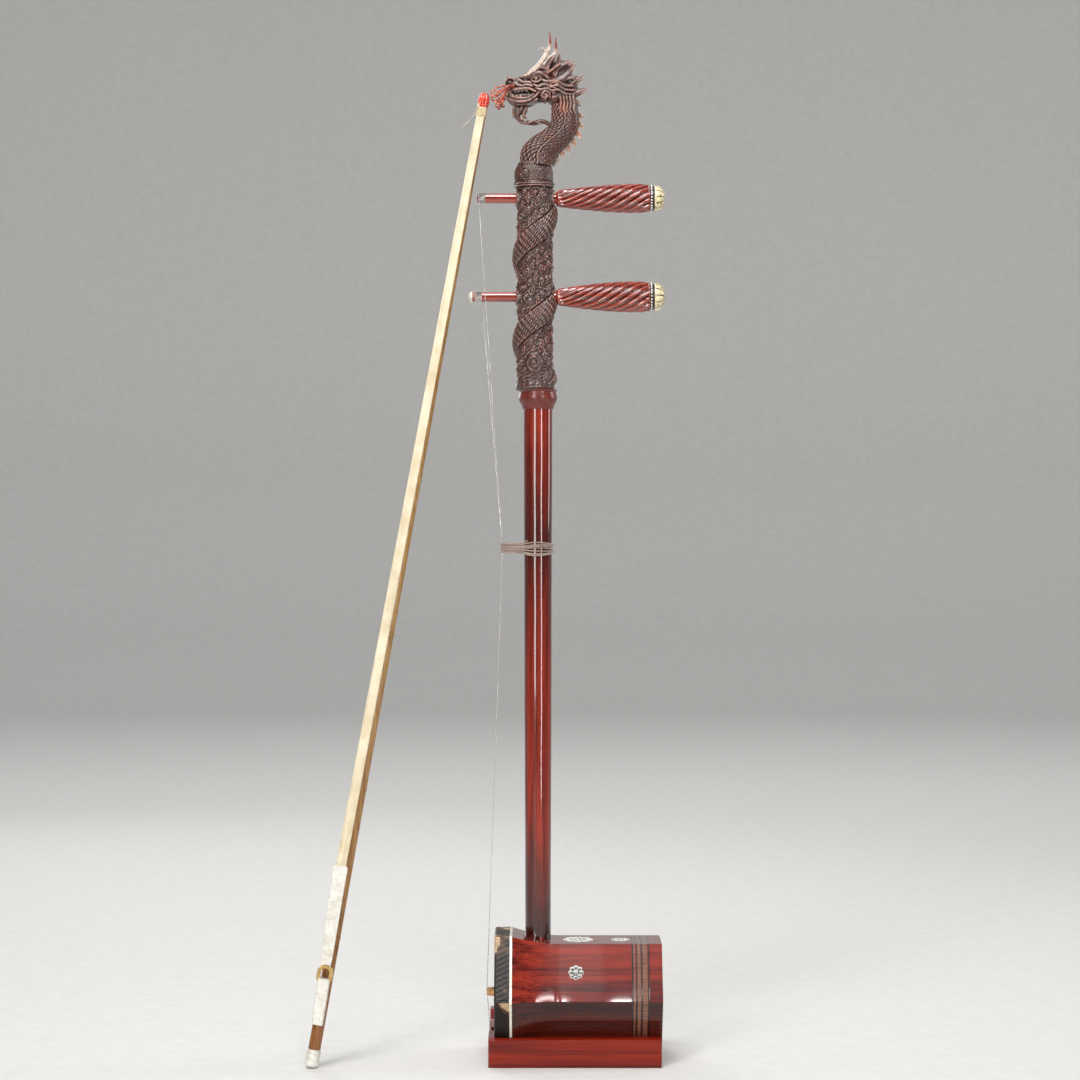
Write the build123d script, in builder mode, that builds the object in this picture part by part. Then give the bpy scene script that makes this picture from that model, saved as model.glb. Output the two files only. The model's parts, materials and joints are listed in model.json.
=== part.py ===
from build123d import *

# Erhu with a carved dragon head and its bow leaning beside it. Millimetres.
# The origin is on the floor, under the neck's axis. +Z is up. -X is the front, where the
# snake skin and the strings are, and +X is the rear, where the peg handles point.
import os
from math import cos, pi, radians, sin, tan

os.makedirs("parts", exist_ok=True)

# ------------------------------------------------------------------ driving dimensions
# Soundbox: a hexagonal tube along X with its flats on top and below
BOX_Z = 52.7  # height of the tube's axis
WAIST_APOTHEM = 41.9  # axis to a flat, over the straight rear part
FRONT_APOTHEM = 47.9  # axis to a flat, under the skin
WALL = 7.5
BOX_FRONT_X = -33.9
FLARE_FRONT_X = -20.4  # the flare runs from here
FLARE_REAR_X = 19.0  # to here
BOX_REAR_X = 98.3
SKIN_THICKNESS = 0.6
SKIN_SKIRT_X = -22.5  # how far the skin wraps back over the tube
RING_XS = (74.7, 78.2, 81.9, 87.5)  # dark rings let into the rear of the tube
RING_WIDTH = 1.3
RING_DEPTH = 0.8
WINDOW_X = (90.0, 96.5)
INLAY_DEPTH = 0.8
INLAY_PROUD = 0.1

# Base block under the soundbox
BASE_X = (-39.2, 97.2)
BASE_HALF_WIDTH = 46.0
BASE_TOP_Z = 23.0
NOTCH = (6.8, 17.0, 17.0)  # depth, width and height of the notch in the front
SCREW_XS = (32.0, 66.0)
SCREW_HEAD_R = 4.2
SCREW_SHANK_R = 1.8
SCREW_LENGTH = 16.0

# Neck
NECK_FOOT_R = 10.3
NECK_TOP_R = 11.5
NECK_TENON_R = 7.5  # through the soundbox
SOCKET_TENON_R = 8.0  # up into the column
NECK_TOP_Z = 535.0

# Carved column and dragon
COLUMN_X = -2.4
COLUMN_Z = (535.0, 715.0)
COLUMN_CORE_R = 13.9
COLUMN_COIL_RISE = 2.9  # how far the coiled body stands out of the core
COIL_PITCH = 67.8
COIL_START_Z = 539.5  # where the middle of the coiled body faces +X
NECK_SOCKET_DEPTH = 24.0
HEAD_HALF_WIDTH = 13.0
MANE_HALF_WIDTH = 10.0
HEAD_FLOOR_Z = 764.0

# Tuning pegs
PEG_R = 4.1
PEG_CLEARANCE = 0.05
UPPER_PEG_Z = 688.7
LOWER_PEG_Z = 609.7
HANDLE_START_X = 16.0
HANDLE_END_X = 89.5
HANDLE_TWIST = 240.0  # degrees from end to end
HANDLE_LOBES = 12
CAP_END_X = 102.0

# Strings
INNER_STRING_D = 0.6
OUTER_STRING_D = 0.4
NUT_Z = 408.0
NUT_X = -28.4
STRING_GAP_AT_NUT = 4.0
STRING_GAP_AT_BRIDGE = 4.8
BRIDGE_Z = 53.0
BRIDGE_HEIGHT = 6.4
HITCH_X = -36.2
HITCH_Z = 17.0
HITCH_R = 1.25

# Bow: a straight stick from a round-ended button on the floor to the dragon's whiskers
BUTTON_DOME_R = 8.0
BOW_FOOT = Vector(-177.0, -44.0, BUTTON_DOME_R)  # centre of the button's round end
BOW_TOP = Vector(-43.2, -8.0, 764.0)
STICK_FOOT_R = 4.9
STICK_TOP_R = 3.6
STICK_START = 7.0  # distances along the bow are measured from BOW_FOOT
STICK_BEND_START = 690.0
STICK_END = 769.0
STICK_TIP_Y = -7.0
HAIR_START = 143.0
HAIR_END = 766.0
BINDING = (755.5, 763.0)
THREAD_D = 0.6
SHEATH_END = 153.0
FROG = (28.0, 64.0)
FROG_EYE = (44.0, 48.0)  # the block that the screw passes through
HAIR_RING_AT = (-1.6, 67.0)  # across, along
HAIR_RING_SIZE = (16.4, 12.6)
SCREW_R = 1.5
SCREW_CLEARANCE = 0.06

# ------------------------------------------------------------------ derived values
FRONT_X = BOX_FRONT_X - SKIN_THICKNESS
SKIN_APOTHEM = FRONT_APOTHEM + SKIN_THICKNESS
BRIDGE_TOP_X = FRONT_X - BRIDGE_HEIGHT
TOP_Z = BOX_Z + WAIST_APOTHEM
STANDING = (Align.CENTER, Align.CENTER, Align.MIN)
SECTOR_ANGLES = {
    "top": 0,
    "upper_near": 60,
    "lower_near": 120,
    "bottom": 180,
    "lower_far": 240,
    "upper_far": 300,
}
bow_along = (BOW_TOP - BOW_FOOT).normalized()
bow_across = Vector(0, 1, 0).cross(bow_along).normalized()
bow_plane = Plane(origin=BOW_FOOT, x_dir=bow_across, z_dir=bow_along)


# ------------------------------------------------------------------ shared shapes
def sector_plane(angle, along_x=0.0):
    """A plane on the tube's axis, with local x along X and local y out to one flat.

    The flats are counted from the top one towards the near (-Y) side.
    """
    out = Vector(0, -sin(radians(angle)), cos(radians(angle)))
    return Plane(origin=(along_x, 0, BOX_Z), x_dir=(1, 0, 0), z_dir=Vector(1, 0, 0).cross(out))


def tube_sector(angle, hollow=True):
    """One of the tube's six flats with mitred sides, or the full wedge down to the axis."""
    inner_front = FRONT_APOTHEM - WALL if hollow else 0
    inner_waist = WAIST_APOTHEM - WALL if hollow else 0
    here = sector_plane(angle)
    half = SKIN_APOTHEM * tan(radians(30)) + 1
    with BuildPart() as sector:
        with BuildSketch(here):
            with BuildLine():
                rear = Line((BOX_REAR_X, WAIST_APOTHEM), (FLARE_REAR_X, WAIST_APOTHEM))
                flare = TangentArc(
                    (FLARE_REAR_X, WAIST_APOTHEM), (FLARE_FRONT_X, FRONT_APOTHEM), tangent=(-1, 0)
                )
                Polyline(
                    flare @ 1,
                    (BOX_FRONT_X, FRONT_APOTHEM),
                    (BOX_FRONT_X, inner_front),
                    (FLARE_FRONT_X, inner_front),
                    (FLARE_REAR_X, inner_waist),
                    (BOX_REAR_X, inner_waist),
                    rear @ 0,
                )
            make_face()
        extrude(amount=half, both=True)
        for side in (-1, 1):
            mitre = Plane(
                origin=here.origin,
                x_dir=(1, 0, 0),
                z_dir=here.z_dir * (side * cos(radians(30))) - here.y_dir * sin(radians(30)),
            )
            split(bisect_by=mitre, keep=Keep.BOTTOM)
    return sector.part


def hex_ring(x, width, outer, inner):
    """A hexagonal band around the tube's axis."""
    with BuildPart() as ring:
        with BuildSketch(Plane.YZ.offset(x - width / 2)):
            with Locations((0, BOX_Z)):
                RegularPolygon(radius=outer, side_count=6, major_radius=False)
                RegularPolygon(radius=inner, side_count=6, major_radius=False, mode=Mode.SUBTRACT)
        extrude(amount=width)
    return ring.part


def flower(petals, middle_r, petal_r, petal_at):
    """A flower outline: a disc with a ring of round petals."""
    with BuildSketch() as outline:
        Circle(middle_r)
        with PolarLocations(petal_at, petals):
            Circle(petal_r)
    return outline.sketch


def flower_inlay(angle, along_x, petals, middle_r, petal_r, petal_at):
    """A flower let into one flat of the soundbox and standing a little proud of it."""
    axis = sector_plane(angle, along_x)
    on_flat = Plane(origin=axis.origin + axis.y_dir * (WAIST_APOTHEM + INLAY_PROUD),
                    x_dir=(1, 0, 0), z_dir=axis.y_dir)
    with BuildPart() as inlay:
        with BuildSketch(on_flat):
            add(flower(petals, middle_r, petal_r, petal_at))
        extrude(amount=-(INLAY_DEPTH + INLAY_PROUD))
    return inlay.part


def tilted_plane(x, z, tilt):
    """A plane across an upright piece, leaning by tilt degrees towards +X."""
    lean = radians(tilt)
    return Plane(origin=(x, 0, z), x_dir=(cos(lean), 0, -sin(lean)), z_dir=(sin(lean), 0, cos(lean)))


def string_plane(path):
    """A plane across the start of a path."""
    return Plane(origin=path @ 0, z_dir=path % 0)


def hair_side_plane(across, behind, along):
    """A plane at a point of the bow, with x across the hair and y along the bow."""
    return Plane(origin=bow_plane.from_local_coords(Vector(across, behind, along)),
                 x_dir=bow_plane.x_dir, z_dir=-bow_plane.y_dir)


# Solids that shape their neighbours: the filled soundbox, the inlays and the rings
filled_sectors = {name: tube_sector(angle, hollow=False) for name, angle in SECTOR_ANGLES.items()}
FLOWERS = {
    "side_flower_near": ("upper_near", 30.0, 8, 3.6, 1.9, 4.2),
    "side_flower_far": ("upper_far", 30.0, 8, 3.6, 1.9, 4.2),
    "top_flower_large": ("top", 32.2, 8, 8.0, 3.6, 8.6),
    "top_flower_small": ("top", 66.0, 6, 4.6, 2.6, 4.8),
}
inlays = {
    name: (flat, flower_inlay(SECTOR_ANGLES[flat], x, petals, middle_r, petal_r, petal_at))
    for name, (flat, x, petals, middle_r, petal_r, petal_at) in FLOWERS.items()
}
rings = [
    hex_ring(x, RING_WIDTH, WAIST_APOTHEM, WAIST_APOTHEM - RING_DEPTH) for x in RING_XS
]

# ------------------------------------------------------------------ base
with BuildPart() as base_block:
    with BuildSketch(Plane.YZ.offset(BASE_X[0])):
        with BuildLine():
            Polyline(
                (-BASE_HALF_WIDTH + 1.5, 0),
                (BASE_HALF_WIDTH - 1.5, 0),
                (BASE_HALF_WIDTH, 2.5),
                (BASE_HALF_WIDTH - 1.2, BASE_TOP_Z - 1.5),
                (BASE_HALF_WIDTH - 3.5, BASE_TOP_Z),
                (-BASE_HALF_WIDTH + 3.5, BASE_TOP_Z),
                (-BASE_HALF_WIDTH + 1.2, BASE_TOP_Z - 1.5),
                (-BASE_HALF_WIDTH, 2.5),
                close=True,
            )
        make_face()
    extrude(amount=BASE_X[1] - BASE_X[0])
    fillet(base_block.edges().filter_by(Axis.Z, tolerance=8).group_by(Axis.X)[0], radius=3)
    for wedge_name in ("bottom", "lower_near", "lower_far"):
        add(filled_sectors[wedge_name], mode=Mode.SUBTRACT)
    # room for the skin's skirt, which is thicker than the tube under it
    add(hex_ring((FRONT_X + FLARE_FRONT_X) / 2, FLARE_FRONT_X - FRONT_X, SKIN_APOTHEM, 1),
        mode=Mode.SUBTRACT)
    # notch in the front where the strings are hitched
    with Locations((BASE_X[0], 0, BASE_TOP_Z + 1)):
        Box(*NOTCH, align=(Align.MIN, Align.CENTER, Align.MAX), mode=Mode.SUBTRACT)
    with Locations(Plane(origin=(HITCH_X, 0, HITCH_Z), z_dir=(0, 1, 0))):
        Cylinder(HITCH_R, 30, mode=Mode.SUBTRACT)
    with Locations(*[(x, 0, 0) for x in SCREW_XS]):
        Cylinder(SCREW_HEAD_R, 4, align=STANDING, mode=Mode.SUBTRACT)
        Cylinder(SCREW_SHANK_R, BASE_TOP_Z, align=STANDING, mode=Mode.SUBTRACT)
base_block.part.label = "base_block"
export_step(base_block.part, "parts/base_block.step")

with BuildPart() as base_screws:
    with Locations(*[(x, 0, 1.0) for x in SCREW_XS]):
        Cylinder(SCREW_HEAD_R, 3.0, align=STANDING)
        Cylinder(SCREW_SHANK_R, SCREW_LENGTH - 1.0, align=STANDING)
        Box(6.0, 1.2, 2.4, mode=Mode.SUBTRACT)  # the driver's slot
base_screws.part.label = "base_screws"
export_step(base_screws.part, "parts/base_screws.step")

with BuildPart() as string_hitch:
    with Locations(Plane(origin=(HITCH_X, 0, HITCH_Z), z_dir=(0, 1, 0))):
        Cylinder(HITCH_R, 28)
string_hitch.part.label = "string_hitch"
export_step(string_hitch.part, "parts/string_hitch.step")

# ------------------------------------------------------------------ soundbox
for flat_name, angle in SECTOR_ANGLES.items():
    whole = tube_sector(angle)
    with BuildPart() as panel:
        add(whole)
        for ring in rings:
            add(ring, mode=Mode.SUBTRACT)
        for inlay_flat, inlay in inlays.values():
            if inlay_flat == flat_name:
                add(inlay, mode=Mode.SUBTRACT)
        if flat_name in ("top", "bottom"):
            with Locations((0, 0, BOX_Z)):
                Cylinder(NECK_TENON_R, 120, mode=Mode.SUBTRACT)
        if flat_name == "bottom":
            with Locations(*[(x, 0, 0) for x in SCREW_XS]):
                Cylinder(SCREW_SHANK_R, SCREW_LENGTH, align=STANDING, mode=Mode.SUBTRACT)
    panel.part.label = f"soundbox_{flat_name}"
    export_step(panel.part, f"parts/soundbox_{flat_name}.step")

with BuildPart() as rear_rings:
    for ring in rings:
        add(ring)
rear_rings.part.label = "rear_rings"
export_step(rear_rings.part, "parts/rear_rings.step")

for inlay_name, (inlay_flat, inlay) in inlays.items():
    with BuildPart() as flower_part:
        add(inlay)
    flower_part.part.label = inlay_name
    export_step(flower_part.part, f"parts/{inlay_name}.step")

with BuildPart() as skin:
    with BuildSketch(Plane.YZ.offset(FRONT_X)):
        with Locations((0, BOX_Z)):
            RegularPolygon(radius=SKIN_APOTHEM, side_count=6, major_radius=False)
    extrude(amount=SKIN_SKIRT_X - FRONT_X)
    with BuildSketch(Plane.YZ.offset(BOX_FRONT_X)):
        with Locations((0, BOX_Z)):
            RegularPolygon(radius=FRONT_APOTHEM, side_count=6, major_radius=False)
    extrude(amount=SKIN_SKIRT_X - BOX_FRONT_X, mode=Mode.SUBTRACT)
skin.part.label = "snake_skin"
export_step(skin.part, "parts/snake_skin.step")

with BuildPart() as skin_band:
    band_width = FLARE_FRONT_X - SKIN_SKIRT_X
    add(hex_ring(SKIN_SKIRT_X + band_width / 2, band_width, SKIN_APOTHEM, FRONT_APOTHEM))
skin_band.part.label = "skin_edge_band"
export_step(skin_band.part, "parts/skin_edge_band.step")

# Carved sound window in the rear mouth: a pierced rosette in a hexagonal frame
with BuildPart() as window:
    with BuildSketch(Plane.YZ.offset(WINDOW_X[0])):
        with Locations((0, BOX_Z)):
            RegularPolygon(radius=WAIST_APOTHEM - WALL, side_count=6, major_radius=False)
            with PolarLocations(9.6, 6):
                Circle(3.6, mode=Mode.SUBTRACT)
            Circle(3.0, mode=Mode.SUBTRACT)
            with PolarLocations(18.6, 12):
                SlotOverall(9.0, 5.2, mode=Mode.SUBTRACT)
            with PolarLocations(27.6, 6, start_angle=0):
                Circle(4.2, mode=Mode.SUBTRACT)
            with PolarLocations(27.0, 6, start_angle=30):
                SlotOverall(8.5, 5.4, rotation=90, mode=Mode.SUBTRACT)
    extrude(amount=WINDOW_X[1] - WINDOW_X[0])
window.part.label = "sound_window"
export_step(window.part, "parts/sound_window.step")

# ------------------------------------------------------------------ neck
with BuildPart() as neck_rod:
    with BuildSketch(Plane.XZ):
        with BuildLine():
            Polyline(
                (0, TOP_Z - 1),
                (NECK_FOOT_R, TOP_Z - 1),
                (NECK_TOP_R, NECK_TOP_Z),
                (SOCKET_TENON_R, NECK_TOP_Z),
                (SOCKET_TENON_R, NECK_TOP_Z + NECK_SOCKET_DEPTH),
                (0, NECK_TOP_Z + NECK_SOCKET_DEPTH),
                close=True,
            )
        make_face()
    revolve(axis=Axis.Z)
    add(filled_sectors["top"], mode=Mode.SUBTRACT)
    tenon_foot_z = BOX_Z - FRONT_APOTHEM + WALL - 6.5
    with Locations((0, 0, tenon_foot_z)):
        Cylinder(NECK_TENON_R, TOP_Z + 8 - tenon_foot_z, align=STANDING)
    # the tenon ends level with the bottom panel's underside
    add(base_block.part, mode=Mode.SUBTRACT)
neck_rod.part.label = "neck_rod"
export_step(neck_rod.part, "parts/neck_rod.step")

with BuildPart() as neck_collar:
    with BuildSketch(Plane.XZ):
        with BuildLine():
            Polyline((NECK_TOP_R - 0.035, 520), (12.6, 520), (13.0, 523))
            ThreePointArc((13.0, 523), (15.6, 527.5), (14.6, 532.5))
            Polyline((14.6, 532.5), (15.4, 535), (NECK_TOP_R, 535), (NECK_TOP_R - 0.035, 520))
        make_face()
    revolve(axis=Axis.Z)
    add(neck_rod.part, mode=Mode.SUBTRACT)
neck_collar.part.label = "neck_collar"
export_step(neck_collar.part, "parts/neck_collar.step")

# Column: a round core with the dragon's body wound up it as one raised helical band
COLUMN_SIDES = 18
COLUMN_LAYERS = 24
with BuildPart() as carved_column:
    for layer in range(COLUMN_LAYERS + 1):
        z = COLUMN_Z[0] + (COLUMN_Z[1] - COLUMN_Z[0]) * layer / COLUMN_LAYERS
        turn = 2 * pi * (z - COIL_START_Z) / COIL_PITCH
        corners = []
        for side in range(COLUMN_SIDES):
            around = 2 * pi * side / COLUMN_SIDES
            rise = COLUMN_COIL_RISE * max(0, cos(around - turn)) ** 2
            r = COLUMN_CORE_R + rise
            corners.append((COLUMN_X + r * cos(around), r * sin(around)))
        with BuildSketch(Plane.XY.offset(z)):
            Polygon(*corners, align=None)
    loft(ruled=True)
    with Locations(*[
        Plane(origin=(COLUMN_X, 0, z), z_dir=(1, 0, 0)) for z in (UPPER_PEG_Z, LOWER_PEG_Z)
    ]):
        Cylinder(PEG_R + PEG_CLEARANCE, 50, mode=Mode.SUBTRACT)
    with Locations((0, 0, COLUMN_Z[0])):
        Cylinder(SOCKET_TENON_R, NECK_SOCKET_DEPTH, align=STANDING, mode=Mode.SUBTRACT)
carved_column.part.label = "carved_column"
export_step(carved_column.part, "parts/carved_column.step")

# ------------------------------------------------------------------ dragon
# Sections of the dragon's neck: x, z, width, depth and lean
NECK_SECTIONS = (
    (-0.6, COLUMN_Z[1], 28.0, 28.0, 0),
    (0.8, 725.0, 28.4, 27.0, 14),
    (7.6, 732.5, 26.6, 25.0, 22),
    (15.7, 739.5, 24.0, 23.0, 18),
    (21.4, 748.5, 22.5, 21.5, 4),
    (21.2, HEAD_FLOOR_Z, 20.0, 20.0, 0),
)
with BuildPart() as dragon_neck:
    for x, z, width, depth, lean in NECK_SECTIONS:
        with BuildSketch(tilted_plane(x, z, lean)):
            Ellipse(width / 2, depth / 2)
    loft()
dragon_neck.part.label = "dragon_neck"
export_step(dragon_neck.part, "parts/dragon_neck.step")

# Fins along the back of the neck: where each one stands, and which way it points
FIN_ROOTS = (
    (13.0, 722.0, -32), (17.5, 727.0, -38), (22.0, 730.5, -35), (26.5, 735.0, -28),
    (29.8, 741.0, -15), (31.6, 748.0, -5), (31.2, 755.0, 5),
)
with BuildPart() as dorsal_fins:
    for x, z, tilt in FIN_ROOTS:
        fin_plane = Plane(origin=(x, 0, z), x_dir=(cos(radians(tilt)), 0, sin(radians(tilt))),
                          z_dir=(0, -1, 0))
        with BuildSketch(fin_plane):
            Polygon((-4, -3.2), (-4, 3.0), (0.5, 2.6), (5.0, -2.4), (0.5, -3.2), align=None)
        extrude(amount=1.6, both=True)
    add(dragon_neck.part, mode=Mode.SUBTRACT)
dorsal_fins.part.label = "dorsal_fins"
export_step(dorsal_fins.part, "parts/dorsal_fins.step")

EYE_R = 2.4
EYES_AT = [(-1.6, side * (HEAD_HALF_WIDTH - 0.6), 782.8) for side in (-1, 1)]
HEAD_BEVEL = 1.8
with BuildPart() as dragon_head:
    with BuildSketch(Plane.XZ):
        Polygon(
            (-27.0, 774.5), (-26.6, 781.5), (-23.2, 786.4), (-17.0, 785.4), (-9.0, 787.6),
            (0.0, 793.6), (8.0, 797.0), (14, 788), (20, 777), (20, HEAD_FLOOR_Z),
            (9.5, HEAD_FLOOR_Z), (3.5, 770.2), (-4.0, 773.4), (-14, 774.2), align=None,
        )
    extrude(amount=HEAD_HALF_WIDTH, both=True)
    cheeks = dragon_head.faces().filter_by(Axis.Y)
    chamfer(cheeks.edges(), length=HEAD_BEVEL)
    with Locations(*EYES_AT):
        Sphere(EYE_R, mode=Mode.SUBTRACT)
dragon_head.part.label = "dragon_head"
export_step(dragon_head.part, "parts/dragon_head.step")

with BuildPart() as dragon_eyes:
    with Locations(*EYES_AT):
        Sphere(EYE_R)
dragon_eyes.part.label = "dragon_eyes"
export_step(dragon_eyes.part, "parts/dragon_eyes.step")

with BuildPart() as dragon_jaw:
    with BuildSketch(Plane.XZ):
        Polygon(
            (5.0, 768.6), (-1.5, 765.4), (-9.0, 763.0), (-17, 762.8), (-24.0, 765.6),
            (-27.4, 771.0), (-23.5, 770.6), (-14, 769.6), (-4.0, 770.2), (1.5, 771.8), align=None,
        )
    extrude(amount=HEAD_HALF_WIDTH - 2.5, both=True)
    add(dragon_head.part, mode=Mode.SUBTRACT)
dragon_jaw.part.label = "dragon_jaw"
export_step(dragon_jaw.part, "parts/dragon_jaw.step")

# Mane: flame-shaped locks behind the head
with BuildPart() as dragon_mane:
    with BuildSketch(Plane.XZ):
        with BuildLine():
            Polyline(
                (8, 797), (11.5, 806), (15.5, 799), (21, 805.5), (23.5, 797.5), (31, 801.5),
                (29.5, 792), (36.5, 788.5), (31.5, 783), (41.2, 774.6), (31.5, 771.5),
                (32.5, HEAD_FLOOR_Z), (20, HEAD_FLOOR_Z), (20, 777), (14, 788), close=True,
            )
        make_face()
    extrude(amount=MANE_HALF_WIDTH, both=True)
dragon_mane.part.label = "dragon_mane"
export_step(dragon_mane.part, "parts/dragon_mane.step")

# Horns: tapering rods that start in the brow and sweep back and up
HORN_TIPS = {"near": (9.6, -11.0, 820.6), "far": (13.6, 11.0, 820.0)}
for horn_name, tip in HORN_TIPS.items():
    side = -1 if horn_name == "near" else 1
    stations = [
        (Vector(-9.0, side * 6.5, 786.0), 2.6),
        (Vector(-1.0, side * 8.0, 794.5), 2.4),
        (Vector(6.0, side * 9.5, 804.0), 1.9),
        (Vector(tip[0] - 0.4, side * 10.6, 812.5), 1.4),
        (Vector(*tip), 0.7),
    ]
    with BuildPart() as horn:
        for index, (place, r) in enumerate(stations):
            before = stations[max(index - 1, 0)][0]
            after = stations[min(index + 1, len(stations) - 1)][0]
            with BuildSketch(Plane(origin=place, z_dir=after - before)):
                Circle(r)
        loft()
        add(dragon_head.part, mode=Mode.SUBTRACT)
        largest = horn.solids().sort_by(SortBy.VOLUME)[-1]
    with BuildPart() as horn_part:
        add(largest)
    horn_part.part.label = f"horn_{horn_name}"
    export_step(horn_part.part, f"parts/horn_{horn_name}.step")

# Whiskers: from the upper lip forward and down, one each side
for side_name, side in (("near", -1), ("far", 1)):
    whisker_points = [
        (-21.0, side * (HEAD_HALF_WIDTH + 1.1), 777.0),
        (-27.0, side * 13.4, 775.0),
        (-33.0, side * 12.0, 768.5),
        (-37.0, side * 11.0, 770.5),
        (-36.0, side * 10.6, 774.0),
    ]
    with BuildPart() as whisker:
        with BuildLine() as whisker_line:
            FilletPolyline(*whisker_points, radius=1.6)
        with BuildSketch(string_plane(whisker_line.line)):
            Circle(1.1)
        sweep(transition=Transition.ROUND)
        add(dragon_head.part, mode=Mode.SUBTRACT)
    whisker.part.label = f"whisker_{side_name}"
    export_step(whisker.part, f"parts/whisker_{side_name}.step")

# Beard: a tuft under the chin, carried back as one strand to the chest
with BuildPart() as dragon_beard:
    with BuildLine() as beard_line:
        FilletPolyline(
            (-15.0, 0, 766.0), (-16.0, 0, 752.5), (-8.0, 0, 747.4), (2.0, 0, 750.0),
            (13.0, 0, 745.0), radius=3.0,
        )
    with BuildSketch(string_plane(beard_line.line)):
        Circle(2.0)
    sweep(transition=Transition.ROUND)
    with Locations((-15.4, 0, 756.6)):
        Sphere(5.2)
    add(dragon_jaw.part, mode=Mode.SUBTRACT)
    add(dragon_neck.part, mode=Mode.SUBTRACT)
    beard_body = dragon_beard.solids().sort_by(SortBy.VOLUME)[-1]
with BuildPart() as beard_part:
    add(beard_body)
beard_part.part.label = "dragon_beard"
export_step(beard_part.part, "parts/dragon_beard.step")

# ------------------------------------------------------------------ tuning pegs
# Handle radius against distance along X: a slim start, the widest place near the end
PEGS = {
    "upper": {"z": UPPER_PEG_Z, "front_x": -49.0, "widest": 11.7, "string_x": -47.6, "wound": 1.0},
    "lower": {"z": LOWER_PEG_Z, "front_x": -52.6, "widest": 12.5, "string_x": -45.3, "wound": 0.6},
}
HANDLE_LAYERS = 12
FLUTE_DEPTH = 1.7
BEAD_RING_X = (HANDLE_END_X, 92.2)
DARK_RING_X = (92.2, 93.3)
SPIGOT_R = 4.0


def handle_radius(x, widest):
    """The handle swells from its start to its widest place and draws in a little after it."""
    swell_end = 78.0
    if x <= swell_end:
        share = (x - HANDLE_START_X) / (swell_end - HANDLE_START_X)
        return 6.8 + (widest - 6.8) * sin(share * pi / 2)
    share = (x - swell_end) / (HANDLE_END_X - swell_end)
    return widest - 1.1 * share**2


for peg_name, peg in PEGS.items():
    axis_at = (0, 0, peg["z"])
    with BuildPart() as peg_part:
        for layer in range(HANDLE_LAYERS + 1):
            x = HANDLE_START_X + (HANDLE_END_X - HANDLE_START_X) * layer / HANDLE_LAYERS
            crest = handle_radius(x, peg["widest"])
            # about +X, the flutes turn from the near side upwards
            turn = -radians(HANDLE_TWIST) * layer / HANDLE_LAYERS
            corners = []
            for corner in range(2 * HANDLE_LOBES):
                r = crest if corner % 2 == 0 else crest - FLUTE_DEPTH
                around = turn + pi * corner / HANDLE_LOBES
                corners.append((r * cos(around), peg["z"] + r * sin(around)))
            with BuildSketch(Plane.YZ.offset(x)):
                Polygon(*corners, align=None)
        loft(ruled=True)
        with BuildSketch(Plane.YZ.offset(peg["front_x"])):
            with Locations((0, peg["z"])):
                Circle(PEG_R)
        extrude(amount=HANDLE_START_X + 1 - peg["front_x"])
        with BuildSketch(Plane.YZ.offset(HANDLE_END_X)):
            with Locations((0, peg["z"])):
                Circle(SPIGOT_R)
        extrude(amount=6.0)
    peg_part.part.label = f"{peg_name}_peg"
    export_step(peg_part.part, f"parts/{peg_name}_peg.step")

    with BuildPart() as bead_ring:
        with BuildSketch(Plane.YZ.offset(BEAD_RING_X[0])):
            with Locations((0, peg["z"])):
                Circle(peg["widest"] - 1.4)
                Circle(SPIGOT_R, mode=Mode.SUBTRACT)
        extrude(amount=BEAD_RING_X[1] - BEAD_RING_X[0])
    bead_ring.part.label = f"{peg_name}_peg_bead_ring"
    export_step(bead_ring.part, f"parts/{peg_name}_peg_bead_ring.step")

    with BuildPart() as dark_ring:
        with BuildSketch(Plane.YZ.offset(DARK_RING_X[0])):
            with Locations((0, peg["z"])):
                Circle(peg["widest"] - 1.9)
                Circle(SPIGOT_R, mode=Mode.SUBTRACT)
        extrude(amount=DARK_RING_X[1] - DARK_RING_X[0])
    dark_ring.part.label = f"{peg_name}_peg_dark_ring"
    export_step(dark_ring.part, f"parts/{peg_name}_peg_dark_ring.step")

    cap_r = peg["widest"] - 1.3
    with BuildPart() as cap:
        with BuildSketch(Plane.XZ):
            with BuildLine():
                rim = Polyline((DARK_RING_X[1], peg["z"]), (DARK_RING_X[1], peg["z"] + cap_r),
                               (DARK_RING_X[1] + 1.2, peg["z"] + cap_r))
                Spline(rim @ 1, (CAP_END_X - 2.4, peg["z"] + cap_r * 0.64),
                       (CAP_END_X, peg["z"]), tangents=((1, 0), (0, -1)))
                Line((CAP_END_X, peg["z"]), (DARK_RING_X[1], peg["z"]))
            make_face()
        revolve(axis=Axis(axis_at, (1, 0, 0)))
        add(peg_part.part, mode=Mode.SUBTRACT)
    cap.part.label = f"{peg_name}_peg_cap"
    export_step(cap.part, f"parts/{peg_name}_peg_cap.step")

    # the string's end, wound round the peg; the string leaves it at string_x
    wound_from = peg["string_x"] - (0.4 if peg_name == "upper" else 5.6)
    with BuildPart() as winding:
        with BuildSketch(Plane.YZ.offset(wound_from)):
            with Locations((0, peg["z"])):
                Circle(PEG_R + peg["wound"])
                Circle(PEG_R, mode=Mode.SUBTRACT)
        extrude(amount=6.2)
    winding.part.label = f"{peg_name}_peg_winding"
    export_step(winding.part, f"parts/{peg_name}_peg_winding.step")

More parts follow.
